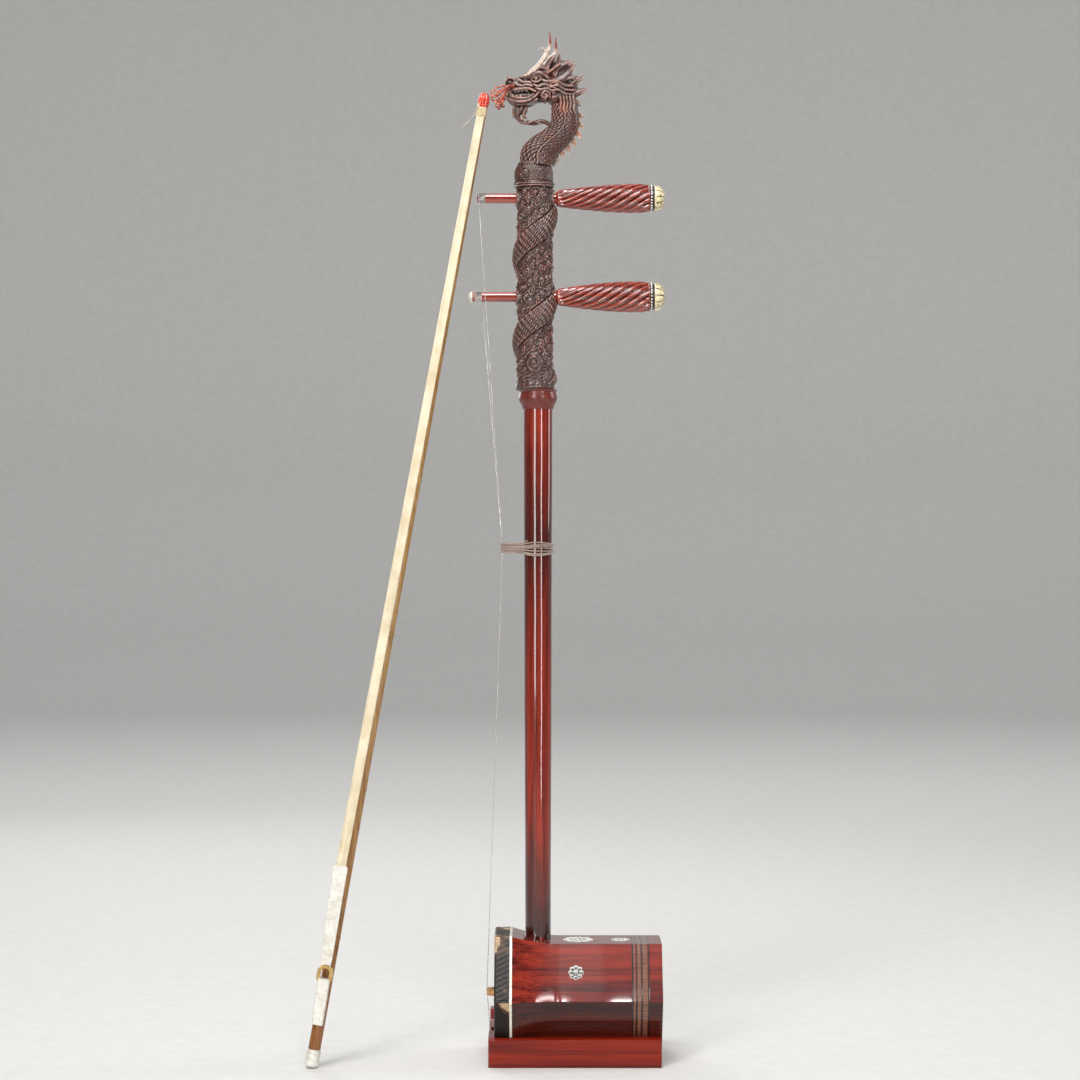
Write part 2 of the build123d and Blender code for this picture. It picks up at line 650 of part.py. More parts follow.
with BuildPart() as bone_tip:
    lower_front = PEGS["lower"]["front_x"]
    with BuildSketch(Plane.XZ):
        with BuildLine():
            side = Polyline((lower_front, LOWER_PEG_Z), (lower_front, LOWER_PEG_Z + PEG_R + 0.3),
                            (lower_front - 1.2, LOWER_PEG_Z + PEG_R + 0.3))
            Spline(side @ 1, (lower_front - 2.9, LOWER_PEG_Z), tangents=((-1, 0), (0, -1)))
            Line((lower_front - 2.9, LOWER_PEG_Z), side @ 0)
        make_face()
    revolve(axis=Axis((0, 0, LOWER_PEG_Z), (1, 0, 0)))
bone_tip.part.label = "lower_peg_tip"
export_step(bone_tip.part, "parts/lower_peg_tip.step")

# ------------------------------------------------------------------ strings, nut and bridge
STRINGS = {
    "outer_string": {"d": OUTER_STRING_D, "peg": "upper", "side": -1},
    "inner_string": {"d": INNER_STRING_D, "peg": "lower", "side": 1},
}
string_solids = []
for string_name, spec in STRINGS.items():
    peg = PEGS[spec["peg"]]
    r = spec["d"] / 2
    with BuildPart() as string_part:
        with BuildLine() as route:
            FilletPolyline(
                (peg["string_x"], spec["side"] * (PEG_R + peg["wound"] + 0.3 + r), peg["z"]),
                (NUT_X, spec["side"] * STRING_GAP_AT_NUT / 2, NUT_Z),
                (BRIDGE_TOP_X - r + 0.15, spec["side"] * STRING_GAP_AT_BRIDGE / 2, BRIDGE_Z),
                (HITCH_X - HITCH_R - r, spec["side"] * STRING_GAP_AT_BRIDGE / 2, HITCH_Z - 1.0),
                radius=6.0,
            )
        with BuildSketch(string_plane(route.line)):
            Circle(r)
        sweep(transition=Transition.ROUND)
    string_part.part.label = string_name
    export_step(string_part.part, f"parts/{string_name}.step")
    string_solids.append(string_part.part)

# Nut: loops of cord round the neck and the strings, which pull the strings inwards
LOOP_THICKNESS = 1.05
LOOP_COUNT = 6
LOOP_PITCH = 2.5  # on the neck; the loops draw together towards the strings
LOOP_FAN = 2.4  # degrees between a loop and the next
LOOP_CLEARANCE = 0.22
neck_share = (NUT_Z + LOOP_COUNT * LOOP_PITCH / 2 - TOP_Z) / (NECK_TOP_Z - TOP_Z)
neck_r_here = NECK_FOOT_R + (NECK_TOP_R - NECK_FOOT_R) * neck_share
with BuildSketch() as loop_inside:
    Circle(neck_r_here + LOOP_CLEARANCE)
    with Locations((NUT_X + 0.6, 0)):
        Rectangle(2.8, STRING_GAP_AT_NUT + INNER_STRING_D + 0.3)
    make_hull()
with BuildPart() as nut_cord:
    for loop in range(LOOP_COUNT):
        place = loop - (LOOP_COUNT - 1) / 2
        level = NUT_Z + place * LOOP_PITCH - LOOP_THICKNESS / 2
        with BuildSketch(tilted_plane(0, level, -LOOP_FAN * place)):
            add(loop_inside.sketch)
            offset(amount=LOOP_THICKNESS)
            add(loop_inside.sketch, mode=Mode.SUBTRACT)
        extrude(amount=LOOP_THICKNESS)
nut_cord.part.label = "nut_cord"
export_step(nut_cord.part, "parts/nut_cord.step")

with BuildPart() as bridge:
    with BuildSketch(Plane.XY.offset(BRIDGE_Z - 2.4)):
        with BuildLine():
            Polyline((FRONT_X, -8.5), (FRONT_X, -4.0), (FRONT_X - 2.2, -2.6), (FRONT_X - 2.2, 2.6),
                     (FRONT_X, 4.0), (FRONT_X, 8.5), (FRONT_X - 2.2, 8.2))
            ThreePointArc((FRONT_X - 2.2, 8.2), (FRONT_X - 4.6, 6.2), (BRIDGE_TOP_X, 3.8))
            Line((BRIDGE_TOP_X, 3.8), (BRIDGE_TOP_X, -3.8))
            ThreePointArc((BRIDGE_TOP_X, -3.8), (FRONT_X - 4.6, -6.2), (FRONT_X - 2.2, -8.2))
            Line((FRONT_X - 2.2, -8.2), (FRONT_X, -8.5))
        make_face()
    extrude(amount=4.8)
    for string_solid in string_solids:
        add(string_solid, mode=Mode.SUBTRACT)
bridge.part.label = "bridge"
export_step(bridge.part, "parts/bridge.step")

with BuildPart() as damper_felt:
    with Locations((FRONT_X - 1.9, 0, 36.0)):
        Box(3.8, 18, 9)
    fillet(damper_felt.edges().filter_by(Axis.X), radius=1.5)
damper_felt.part.label = "damper_felt"
export_step(damper_felt.part, "parts/damper_felt.step")

# ------------------------------------------------------------------ bow
# Local x is across the hair, local y is away from the hair towards the stick, z is along.
with BuildPart() as bow_stick:
    with BuildSketch(hair_side_plane(0, 0, 0)):
        with BuildLine():
            Polyline((0, STICK_START), (STICK_FOOT_R, STICK_START),
                     (STICK_TOP_R, STICK_BEND_START), (0, STICK_BEND_START), close=True)
        make_face()
    revolve(axis=Axis(bow_plane.origin, bow_plane.z_dir))
    with BuildLine() as bend:
        TangentArc(
            bow_plane.from_local_coords(Vector(0, 0, STICK_BEND_START)),
            bow_plane.from_local_coords(Vector(0, STICK_TIP_Y, STICK_END)),
            tangent=bow_plane.z_dir,
        )
    with BuildSketch(string_plane(bend.line)):
        Circle(STICK_TOP_R)
    sweep(path=bend.line)
    # bore for the screw, and the slot that the frog's eye slides in
    with BuildSketch(bow_plane.offset(STICK_START)):
        Circle(SCREW_R + SCREW_CLEARANCE)
    extrude(amount=55, mode=Mode.SUBTRACT)
    with BuildSketch(bow_plane.offset(34)):
        with Locations((0, -1.4)):
            Rectangle(4.6, 8.2)
    extrude(amount=20, mode=Mode.SUBTRACT)
bow_stick.part.label = "bow_stick"
export_step(bow_stick.part, "parts/bow_stick.step")

HAIR_ENDS = {  # across, behind, width
    HAIR_START: (-4.2, -14.0, 8.8),
    HAIR_END: (-0.4, -11.3, 6.8),
}
HAIR_THICKNESS = 1.2
with BuildPart() as bow_hair:
    for along, (x, y, width) in HAIR_ENDS.items():
        with BuildSketch(bow_plane.offset(along)):
            with Locations((x, y)):
                Rectangle(width, HAIR_THICKNESS)
    loft()
bow_hair.part.label = "bow_hair"
export_step(bow_hair.part, "parts/bow_hair.step")

# The binding, with its thread's own stiff end left standing out at the side
BINDING_END = (
    (-46.6, -11.6, 758.4), (-49.2, -15.4, 755.0), (-53.0, -16.4, 751.4), (-56.1, -17.0, 747.1),
    (-60.0, -17.2, 743.8),
)
with BuildPart() as tip_binding:
    with BuildSketch(bow_plane.offset(BINDING[0])):
        with Locations((-0.2, -7.0)):
            RectangleRounded(9.0, 11.8, 3.4)
    extrude(amount=BINDING[1] - BINDING[0])
    with BuildLine() as thread_line:
        FilletPolyline(*BINDING_END, radius=1.5)
    with BuildSketch(string_plane(thread_line.line)):
        Circle(THREAD_D / 2)
    sweep(transition=Transition.ROUND)
    add(bow_stick.part, mode=Mode.SUBTRACT)
    add(bow_hair.part, mode=Mode.SUBTRACT)
tip_binding.part.label = "tip_binding"
export_step(tip_binding.part, "parts/tip_binding.step")

with BuildPart() as tip_knob:
    for along, x_radius, y_radius in ((BINDING[1], 4.4, 5.8), (768, 4.7, 6.0), (775, 3.0, 3.8)):
        with BuildSketch(bow_plane.offset(along)):
            with Locations((-0.2, -7.3)):
                Ellipse(x_radius, y_radius)
    loft()
    add(bow_stick.part, mode=Mode.SUBTRACT)
    add(bow_hair.part, mode=Mode.SUBTRACT)
tip_knob.part.label = "tip_knob"
export_step(tip_knob.part, "parts/tip_knob.step")

# Frog: the white block that slides on the stick, with the ring and sheath that hold the hair
EYE_WIDTH = 3.9
with BuildPart() as frog_ring:
    with BuildSketch(hair_side_plane(HAIR_RING_AT[0], -12.6, HAIR_RING_AT[1])):
        SlotOverall(*HAIR_RING_SIZE, rotation=90)
        SlotOverall(10.4, 6.6, rotation=90, mode=Mode.SUBTRACT)
    extrude(amount=2.8)
frog_ring.part.label = "frog_ring"
export_step(frog_ring.part, "parts/frog_ring.step")

with BuildPart() as bow_frog:
    for along, x, width, front, behind in (
        (FROG[0], -0.6, 8.6, -17.4, -2.0), (46.0, -1.1, 9.2, -17.8, -2.0),
        (FROG[1], -1.6, 9.4, -17.0, -2.0),
    ):
        with BuildSketch(bow_plane.offset(along)):
            with Locations((x, (front + behind) / 2)):
                RectangleRounded(width, behind - front, 1.5)
    loft()
    with BuildSketch(bow_plane.offset(FROG[0] - 1)):
        Circle(STICK_FOOT_R + 0.06)
    extrude(amount=FROG[1] - FROG[0] + 2, mode=Mode.SUBTRACT)
    add(frog_ring.part, mode=Mode.SUBTRACT)
    frog_body = bow_frog.solids().sort_by(SortBy.VOLUME)[-1]
with BuildPart() as frog_part:
    add(frog_body)
    with BuildSketch(bow_plane.offset(FROG_EYE[0])):
        with Locations((0, -6.6)):
            Rectangle(EYE_WIDTH, 5.0)
    extrude(amount=FROG_EYE[1] - FROG_EYE[0], mode=Mode.SUBTRACT)
frog_part.part.label = "bow_frog"
export_step(frog_part.part, "parts/bow_frog.step")

with BuildPart() as frog_eye:
    with BuildSketch(bow_plane.offset(FROG_EYE[0])):
        with Locations((0, -3.4)):
            Rectangle(EYE_WIDTH, 11.4)
        Circle(SCREW_R + SCREW_CLEARANCE, mode=Mode.SUBTRACT)
    extrude(amount=FROG_EYE[1] - FROG_EYE[0])
frog_eye.part.label = "frog_eye"
export_step(frog_eye.part, "parts/frog_eye.step")

SHEATH_BACK_Y = -12.1
SHEATH_THICKNESS = 3.8
with BuildPart() as hair_sheath:
    with BuildSketch(hair_side_plane(0, SHEATH_BACK_Y, 0)):
        Polygon(
            (-5.4, 71.0), (-6.9, 84.0), (-8.7, 118.0), (-9.9, SHEATH_END - 1.5),
            (-8.9, SHEATH_END), (0.5, SHEATH_END), (1.5, SHEATH_END - 1.5), (1.9, 118.0),
            (2.1, 84.0), (1.9, 71.0), align=None,
        )
    extrude(amount=SHEATH_THICKNESS)
    with BuildSketch(bow_plane.offset(SHEATH_END)):
        with Locations((-4.2, -14.0)):
            Rectangle(9.4, 1.7)
    extrude(amount=-(SHEATH_END - HAIR_START + 1.0), mode=Mode.SUBTRACT)
    # the ring goes round the sheath's narrow end
    with BuildSketch(hair_side_plane(HAIR_RING_AT[0], -11.0, HAIR_RING_AT[1])):
        SlotOverall(*HAIR_RING_SIZE, rotation=90)
    extrude(amount=6.0, mode=Mode.SUBTRACT)
hair_sheath.part.label = "hair_sheath"
export_step(hair_sheath.part, "parts/hair_sheath.step")

with BuildPart() as screw_rod:
    with BuildSketch(bow_plane.offset(-2)):
        Circle(SCREW_R)
    extrude(amount=60)
screw_rod.part.label = "screw_rod"
export_step(screw_rod.part, "parts/screw_rod.step")

BUTTON_R = 5.5
dome_drop = (BUTTON_DOME_R**2 - BUTTON_R**2) ** 0.5
with BuildPart() as screw_button:
    with BuildSketch(hair_side_plane(0, 0, 0)):
        with BuildLine():
            ThreePointArc((0, -BUTTON_DOME_R),
                          (BUTTON_DOME_R * sin(0.35), -BUTTON_DOME_R * cos(0.35)),
                          (BUTTON_R, -dome_drop))
            Polyline((BUTTON_R, -dome_drop), (BUTTON_R, 5.6), (BUTTON_R - 0.8, STICK_START - 0.2),
                     (0, STICK_START - 0.2), (0, -BUTTON_DOME_R))
        make_face()
    revolve(axis=Axis(bow_plane.origin, bow_plane.z_dir))
    add(screw_rod.part, mode=Mode.SUBTRACT)
screw_button.part.label = "screw_button"
export_step(screw_button.part, "parts/screw_button.step")
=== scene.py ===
import json
from math import cos, pi, radians, sin, sqrt, tan

import bmesh
import bpy
import numpy as np
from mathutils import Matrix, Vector


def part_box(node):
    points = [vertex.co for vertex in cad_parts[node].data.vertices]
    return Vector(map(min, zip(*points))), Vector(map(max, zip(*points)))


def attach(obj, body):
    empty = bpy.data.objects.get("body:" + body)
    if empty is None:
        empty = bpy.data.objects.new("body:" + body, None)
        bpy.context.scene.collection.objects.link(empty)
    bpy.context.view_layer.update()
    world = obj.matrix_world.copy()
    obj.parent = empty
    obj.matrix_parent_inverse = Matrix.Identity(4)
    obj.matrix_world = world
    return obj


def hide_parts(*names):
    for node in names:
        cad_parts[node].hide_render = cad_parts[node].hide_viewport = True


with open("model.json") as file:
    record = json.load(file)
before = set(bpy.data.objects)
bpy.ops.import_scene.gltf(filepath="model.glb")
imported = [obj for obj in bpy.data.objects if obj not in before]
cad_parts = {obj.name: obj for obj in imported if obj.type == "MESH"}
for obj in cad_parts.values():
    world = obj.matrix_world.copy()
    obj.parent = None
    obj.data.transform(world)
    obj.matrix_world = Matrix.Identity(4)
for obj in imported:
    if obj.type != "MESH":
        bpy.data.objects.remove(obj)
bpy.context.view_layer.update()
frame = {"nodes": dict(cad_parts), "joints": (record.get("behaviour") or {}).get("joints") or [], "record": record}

NODES = frame["nodes"]
BODY_OF = {
    node: body
    for body, nodes in frame["record"]["behaviour"]["bodies"].items()
    for node in nodes
}
JOINTS = {joint["name"]: joint for joint in frame["joints"]}
MM = 0.001


def box_mm(node):
    """Lowest and highest corner of a CAD node, in millimetres."""
    low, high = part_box(node)
    return np.array(low) / MM, np.array(high) / MM


# ------------------------------------------------------------------ driving dimensions
# Soundbox
BOX_Z = 52.7
WAIST_APOTHEM = 41.9
FRONT_APOTHEM = 47.9
SKIN_FRONT_X = -34.5
SKIN_SKIRT_X = -22.5
SKIN_APOTHEM = 48.5
HEX_SIDE = 2 * tan(radians(30))  # side length of a hexagon with an apothem of 1

# Neck, column and dragon
NECK_FOOT_R = 10.3
NECK_TOP_R = 11.5
NECK_Z = (93.6, 535.0)
COLUMN_X = -2.4
COLUMN_Z = (535.0, 715.0)
COLUMN_CORE_R = 13.9
COIL_RISE = 2.9
COIL_PITCH = 67.8
COIL_START_Z = 539.5
COIL_HALF_WIDTH = 8.0
CARVED_R = 15.4  # the column's usual radius, carving and all
DRAGON_NECK_R = 12.6
HEAD_HALF_WIDTH = 13.0

# Pegs
PEGS = {
    "upper": {"z": 688.7, "front_x": -49.0, "widest": 11.7, "string_x": -47.6, "wound": 1.0},
    "lower": {"z": 609.7, "front_x": -52.6, "widest": 12.5, "string_x": -45.3, "wound": 0.6},
}
PEG_R = 4.1
HANDLE_X = (16.0, 89.5)
HANDLE_TWIST = 240.0
HANDLE_LOBES = 12
CAP_X = (93.3, 102.0)
RING_BEADS = 26

# Strings and nut
STRINGS = {
    "outer_string": {"d": 0.4, "peg": "upper", "side": -1},
    "inner_string": {"d": 0.6, "peg": "lower", "side": 1},
}
NUT_X, NUT_Z = -28.4, 408.0
GAP_AT_NUT, GAP_AT_BRIDGE = 4.0, 4.8
BRIDGE_TOP_X, BRIDGE_Z = -40.9, 53.0
HITCH_X, HITCH_Z, HITCH_R = -36.2, 17.0, 1.25

# Bow: s is the distance along it from the centre of its button's round end
BOW_FOOT = np.array(JOINTS["screw_turn"]["pos_m"]) / MM
BOW_ALONG = np.array(JOINTS["screw_turn"]["axis"])
BOW_ALONG = BOW_ALONG / np.linalg.norm(BOW_ALONG)
BOW_ACROSS = np.cross((0, 1, 0), BOW_ALONG)
BOW_ACROSS = BOW_ACROSS / np.linalg.norm(BOW_ACROSS)
BOW_BEHIND = np.cross(BOW_ALONG, BOW_ACROSS)
STICK_S = (7.0, 690.0, 769.0)
STICK_R = (4.9, 3.6)
HAIR_S = (143.0, 766.0)

CHANCE = np.random.default_rng(7)


# ------------------------------------------------------------------ shapes, as (points, faces)
def unit(v):
    v = np.asarray(v, float)
    return v / np.linalg.norm(v, axis=-1, keepdims=True)


def circle(count):
    """Angles evenly spaced round a circle."""
    return 2 * pi * np.arange(count) / count


def held(values):
    """Values held between 0 and 1."""
    return np.clip(values, 0, 1)


def hump(away, width):
    """A smooth hump: 1 where away is 0, and almost gone at twice the width."""
    return np.exp(-(away / width) ** 2)


def skin(rings, ends=True):
    """A closed skin over rows of rings, rings[row, point, xyz], with flat ends."""
    rows, cols = rings.shape[:2]
    row, col = np.meshgrid(np.arange(rows - 1), np.arange(cols), indexing="ij")
    after = (col + 1) % cols
    quads = np.stack([row * cols + col, row * cols + after,
                      (row + 1) * cols + after, (row + 1) * cols + col], -1)
    faces = quads.reshape(-1, 4).tolist()
    if ends:
        faces.append(list(range(cols))[::-1])
        faces.append([(rows - 1) * cols + c for c in range(cols)])
    return rings.reshape(-1, 3), faces


def smooth_line(points, count):
    """count points, evenly spaced, along a Catmull-Rom curve through the points.

    Points may carry more than three numbers, such as a radius, which go along.
    """
    p = np.asarray(points, float)
    p = np.vstack([2 * p[0] - p[1], p, 2 * p[-1] - p[-2]])
    t = np.linspace(0, 1, 24, endpoint=False)[:, None]
    pieces = [
        0.5 * (2 * b + (c - a) * t + (2 * a - 5 * b + 4 * c - d) * t**2
               + (3 * b - a - 3 * c + d) * t**3)
        for a, b, c, d in zip(p[:-3], p[1:-2], p[2:-1], p[3:])
    ]
    fine = np.vstack(pieces + [p[-2:-1]])
    step = np.linalg.norm(np.diff(fine[:, :3], axis=0), axis=1)
    length = np.concatenate([[0], np.cumsum(step)])
    wanted = np.linspace(0, length[-1], count)
    return np.stack([np.interp(wanted, length, fine[:, k]) for k in range(p.shape[1])], 1)


def frames_along(path, up):
    """Tangent, normal and binormal at each point of a path, without twist."""
    tangent = unit(np.gradient(path, axis=0))
    normal = np.empty_like(tangent)
    carried = np.asarray(up, float)
    for i, t in enumerate(tangent):
        carried = carried - t * (carried @ t)
        carried = carried / np.linalg.norm(carried)
        normal[i] = carried
    return tangent, normal, np.cross(tangent, normal)


def tube(path, radii, sides=12, up=(0.1, 1.0, 0.05), flat=1.0, rounded=True):
    """A rod along a path. radii is one number, one per point, or one per point and side.

    flat thins it along the second direction; rounded gives it domed ends.
    """
    path = np.asarray(path, float)
    radii = np.asarray(radii, float)
    if radii.ndim == 0:
        radii = np.full(len(path), float(radii))
    if radii.ndim == 1:
        radii = np.repeat(radii[:, None], sides, 1)
    if rounded:
        out = unit(path[0] - path[1]), unit(path[-1] - path[-2])
        r = radii[0].mean() * min(flat, 1), radii[-1].mean() * min(flat, 1)
        path = np.vstack([path[0] + out[0] * r[0] * 0.9, path[0] + out[0] * r[0] * 0.55, path,
                          path[-1] + out[1] * r[1] * 0.55, path[-1] + out[1] * r[1] * 0.9])
        radii = np.vstack([radii[:1] * 0.25, radii[:1] * 0.8, radii,
                           radii[-1:] * 0.8, radii[-1:] * 0.25])
    _, normal, binormal = frames_along(path, up)
    around = circle(radii.shape[1])
    rings = (path[:, None]
             + radii[:, :, None] * (np.cos(around)[None, :, None] * normal[:, None]
                                    + np.sin(around)[None, :, None] * binormal[:, None] * flat))
    return skin(rings)


def strand(points, count=24, sides=10, flat=1.0, up=(0.1, 1.0, 0.05)):
    """A tapered rod through points that each hold x, y, z and a radius."""
    line = smooth_line(points, count)
    return tube(line[:, :3], np.maximum(line[:, 3], 0.08), sides, up, flat)


def lathe(profile, centre, axis, sides=64, relief=None):
    """A turned shape: profile is (distance along the axis, radius) pairs.

    relief(along, around) gives a height to add to the radius, in arrays.
    """
    profile = np.asarray(profile, float)
    axis = unit(axis)
    first = unit(np.cross(axis, (0.3, 1.0, 0.2)))
    second = np.cross(axis, first)
    around = circle(sides)
    r = np.repeat(profile[:, 1:2], sides, 1)
    if relief is not None:
        r = r + relief(profile[:, :1], around[None, :])
    rings = (np.asarray(centre, float) + profile[:, :1, None] * axis
             + r[:, :, None] * (np.cos(around)[None, :, None] * first
                                + np.sin(around)[None, :, None] * second))
    return skin(rings)


def blob(centre, radii, lean=0.0, rows=14, sides=20):
    """An ellipsoid, leaning about Y by lean degrees."""
    polar = np.linspace(0.04, pi - 0.04, rows)
    around = circle(sides)
    rings = np.stack([
        np.sin(polar)[:, None] * np.cos(around) * radii[0],
        np.sin(polar)[:, None] * np.sin(around) * radii[1],
        -np.cos(polar)[:, None] * np.ones(sides) * radii[2],
    ], -1)
    c, s = cos(radians(lean)), sin(radians(lean))
    turned = rings @ np.array([[c, 0, -s], [0, 1, 0], [s, 0, c]])
    return skin(turned + np.asarray(centre, float))


def mirrored(shape):
    """The shape's other-handed copy on the far side of the XZ plane."""
    points, faces = shape
    return points * (1, -1, 1), [face[::-1] for face in faces]


def both_sides(*shapes):
    return list(shapes) + [mirrored(shape) for shape in shapes]


def ripple(points, size, seed, waves=14):
    """Smooth irregular values, mostly from -1 to 1, that vary over about size millimetres."""
    chance = np.random.default_rng(seed)
    direction = unit(chance.normal(size=(waves, 3))) * chance.uniform(0.5, 1.7, (waves, 1))
    phase = chance.uniform(0, 2 * pi, waves)
    flat = np.asarray(points, float).reshape(-1, 3)
    values = np.sin(flat @ direction.T * (2 * pi / size) + phase).sum(1) / sqrt(waves)
    return values.reshape(np.shape(points)[:-1])


# ------------------------------------------------------------------ pieces
def mesh_from(name, shapes):
    """One mesh of several shapes, in metres."""
    points, faces, start = [], [], 0
    for shape_points, shape_faces in shapes:
        points.append(np.asarray(shape_points, float).reshape(-1, 3) * MM)
        faces += [[v + start for v in face] for face in shape_faces]
        start += len(points[-1])
    mesh = bpy.data.meshes.new(name)
    mesh.from_pydata(np.vstack(points).tolist(), [], faces)
    mesh.validate()
    return mesh


def shade(mesh, smooth_below=40.0):
    """Smooth shading, with an edge left sharp where its faces meet at more than an angle."""
    bm = bmesh.new()
    bm.from_mesh(mesh)
    bmesh.ops.recalc_face_normals(bm, faces=bm.faces)
    for face in bm.faces:
        face.smooth = True
    for edge in bm.edges:
        edge.smooth = not (edge.is_manifold and edge.calc_face_angle(0) > radians(smooth_below))
    bm.to_mesh(mesh)
    bm.free()


def mark_crests(mesh):
    """Stores how far each point stands out of its neighbours: 1 on crests, -1 in cuts."""
    count = len(mesh.vertices)
    place = np.empty(count * 3, np.float32)
    mesh.vertices.foreach_get("co", place)
    place = place.reshape(-1, 3).astype(float)
    normal = np.empty(count * 3, np.float32)
    mesh.vertices.foreach_get("normal", normal)
    normal = normal.reshape(-1, 3).astype(float)
    edge = np.empty(len(mesh.edges) * 2, np.int32)
    mesh.edges.foreach_get("vertices", edge)
    edge = edge.reshape(-1, 2)
    both = np.vstack([edge, edge[:, ::-1]])
    near = np.bincount(both[:, 0], minlength=count).clip(1)

    def neighbours(values):
        return np.bincount(both[:, 0], weights=values[both[:, 1]], minlength=count) / near

    broad = place
    for _ in range(3):
        broad = np.stack([neighbours(broad[:, k]) for k in range(3)], 1)
    rise = ((place - broad) * normal).sum(1)
    for _ in range(2):
        rise = 0.5 * rise + 0.5 * neighbours(rise)
    spread = np.percentile(np.abs(rise), 90) + 1e-9
    values = np.clip(rise / spread, -1, 1).astype(np.float32)
    mesh.attributes.new("crest", "FLOAT", "POINT").data.foreach_set("value", values)


def applied(obj):
    """Replaces an object's mesh by its modifiers' result."""
    result = bpy.data.meshes.new_from_object(
        obj.evaluated_get(bpy.context.evaluated_depsgraph_get())
    )
    obj.modifiers.clear()
    obj.data = result


def place_piece(obj, node, material, replaces=True):
    """Gives a piece its material and its body, and hides the CAD node that it stands for when it replaces it."""
    obj.data.materials.clear()
    obj.data.materials.append(material)
    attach(obj, BODY_OF[node])
    if replaces:
        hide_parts(node)
    return obj


def piece(name, node, shapes, material, voxel=None, soften=3, sharp=40.0, replaces=True):
    """A piece made of shapes. voxel, in millimetres, melts them into one carved surface."""
    obj = bpy.data.objects.new(name, mesh_from(name, shapes))
    bpy.context.scene.collection.objects.link(obj)
    if voxel:
        melt = obj.modifiers.new("melt", "REMESH")
        melt.mode = "VOXEL"
        melt.voxel_size = voxel * MM
        relax = obj.modifiers.new("relax", "SMOOTH")
        relax.factor = 0.5
        relax.iterations = soften
        applied(obj)
    shade(obj.data, 80.0 if voxel else sharp)
    if voxel:
        mark_crests(obj.data)
    return place_piece(obj, node, material, replaces)


def dressed(node, material, bevel=0.4, segments=2, angle=28.0, eased=0.0):
    """A CAD node's shape with softened edges and clean, flat faces.

    eased, in millimetres, is how wide a curve replaces each shallow bend of the shape.
    """
    mesh = NODES[node].data.copy()
    bm = bmesh.new()
    bm.from_mesh(mesh)
    bmesh.ops.remove_doubles(bm, verts=bm.verts, dist=2e-6)
    bmesh.ops.dissolve_limit(bm, angle_limit=radians(0.6), verts=bm.verts, edges=bm.edges)
    bends = [edge for edge in bm.edges if edge.is_manifold
             and radians(2) < edge.calc_face_angle(0) < radians(20)] if eased else []
    if bends:
        bmesh.ops.bevel(bm, geom=bends, offset=eased * MM, offset_type="OFFSET", segments=10,
                        profile=0.5, affect="EDGES", clamp_overlap=True)
    bm.to_mesh(mesh)
    bm.free()
    obj = bpy.data.objects.new(node + "_finished", mesh)
    bpy.context.scene.collection.objects.link(obj)
    soften = obj.modifiers.new("soften", "BEVEL")
    soften.width = bevel * MM
    soften.segments = segments
    soften.limit_method = "ANGLE"
    soften.angle_limit = radians(angle)
    applied(obj)
    shade(obj.data, 35.0)
    weigh = obj.modifiers.new("weigh", "WEIGHTED_NORMAL")
    weigh.keep_sharp = True
    applied(obj)
    return place_piece(obj, node, material)


# ------------------------------------------------------------------ material building
def put(tree, kind, settings=(), **inputs):
    """A shader node. Inputs are numbers, colours or another node's socket."""
    node = tree.nodes.new("ShaderNode" + kind)
    for key, value in dict(settings).items():
        setattr(node, key, value)
    for key, value in inputs.items():
        name = int(key[1:]) if key[0] == "n" and key[1:].isdigit() else key.replace("_", " ")
        if isinstance(value, bpy.types.NodeSocket):
            tree.links.new(value, node.inputs[name])
        else:
            node.inputs[name].default_value = value
    return node


def surface(name, roughness=0.4, **inputs):
    material = bpy.data.materials.new(name)
    material.use_nodes = True
    tree = material.node_tree
    shader = tree.nodes["Principled BSDF"]
    shader.inputs["Roughness"].default_value = roughness
    for key, value in inputs.items():
        shader.inputs[key.replace("_", " ")].default_value = value
    return material, tree, shader


def place_over(tree, scale):
    """Object coordinates in metres, multiplied by a scale for each axis."""
    where = put(tree, "TexCoord").outputs["Object"]
    return put(tree, "Mapping", Vector=where, Scale=scale).outputs["Vector"]


def grains(tree, *sizes):
    """Object coordinates counted in grains: one size in millimetres, or one for each axis."""
    sizes = sizes * 3 if len(sizes) == 1 else sizes
    return place_over(tree, [1 / (size * MM) for size in sizes])


def noise(tree, vector, scale=1.0, detail=5.0, roughness=0.55, distortion=0.0):
    return put(tree, "TexNoise", Vector=vector, Scale=scale, Detail=detail,
               Roughness=roughness, Distortion=distortion).outputs["Fac"]


def ramp(tree, factor, *stops):
    """A colour ramp of (position, colour) stops; a plain number stands for a grey."""
    node = put(tree, "ValToRGB", Fac=factor)
    while len(node.color_ramp.elements) < len(stops):
        node.color_ramp.elements.new(0.5)
    for element, (position, colour) in zip(node.color_ramp.elements, stops):
        element.position = position
        element.color = (*([colour] * 3 if np.isscalar(colour) else colour), 1.0)
    return node.outputs["Color"]


def mixed(tree, factor, a, b, blend="MIX"):
    node = tree.nodes.new("ShaderNodeMix")
    node.data_type, node.blend_type = "RGBA", blend
    for index, value in ((0, factor), (6, a), (7, b)):
        if isinstance(value, bpy.types.NodeSocket):
            tree.links.new(value, node.inputs[index])
        elif index == 0:
            node.inputs[0].default_value = value
        else:
            node.inputs[index].default_value = (*value, 1.0)
    return node.outputs[2]


def calc(tree, operation, a, b=0.0):
    """A sum or product of two values in a material."""
    return put(tree, "Math", {"operation": operation}, n0=a, n1=b).outputs[0]


def weighed(tree, *terms):
    """The sum of (value, weight) terms."""
    total = calc(tree, "MULTIPLY", *terms[-1])
    for term in terms[-2::-1]:
        total = calc(tree, "ADD", calc(tree, "MULTIPLY", *term), total)
    return total


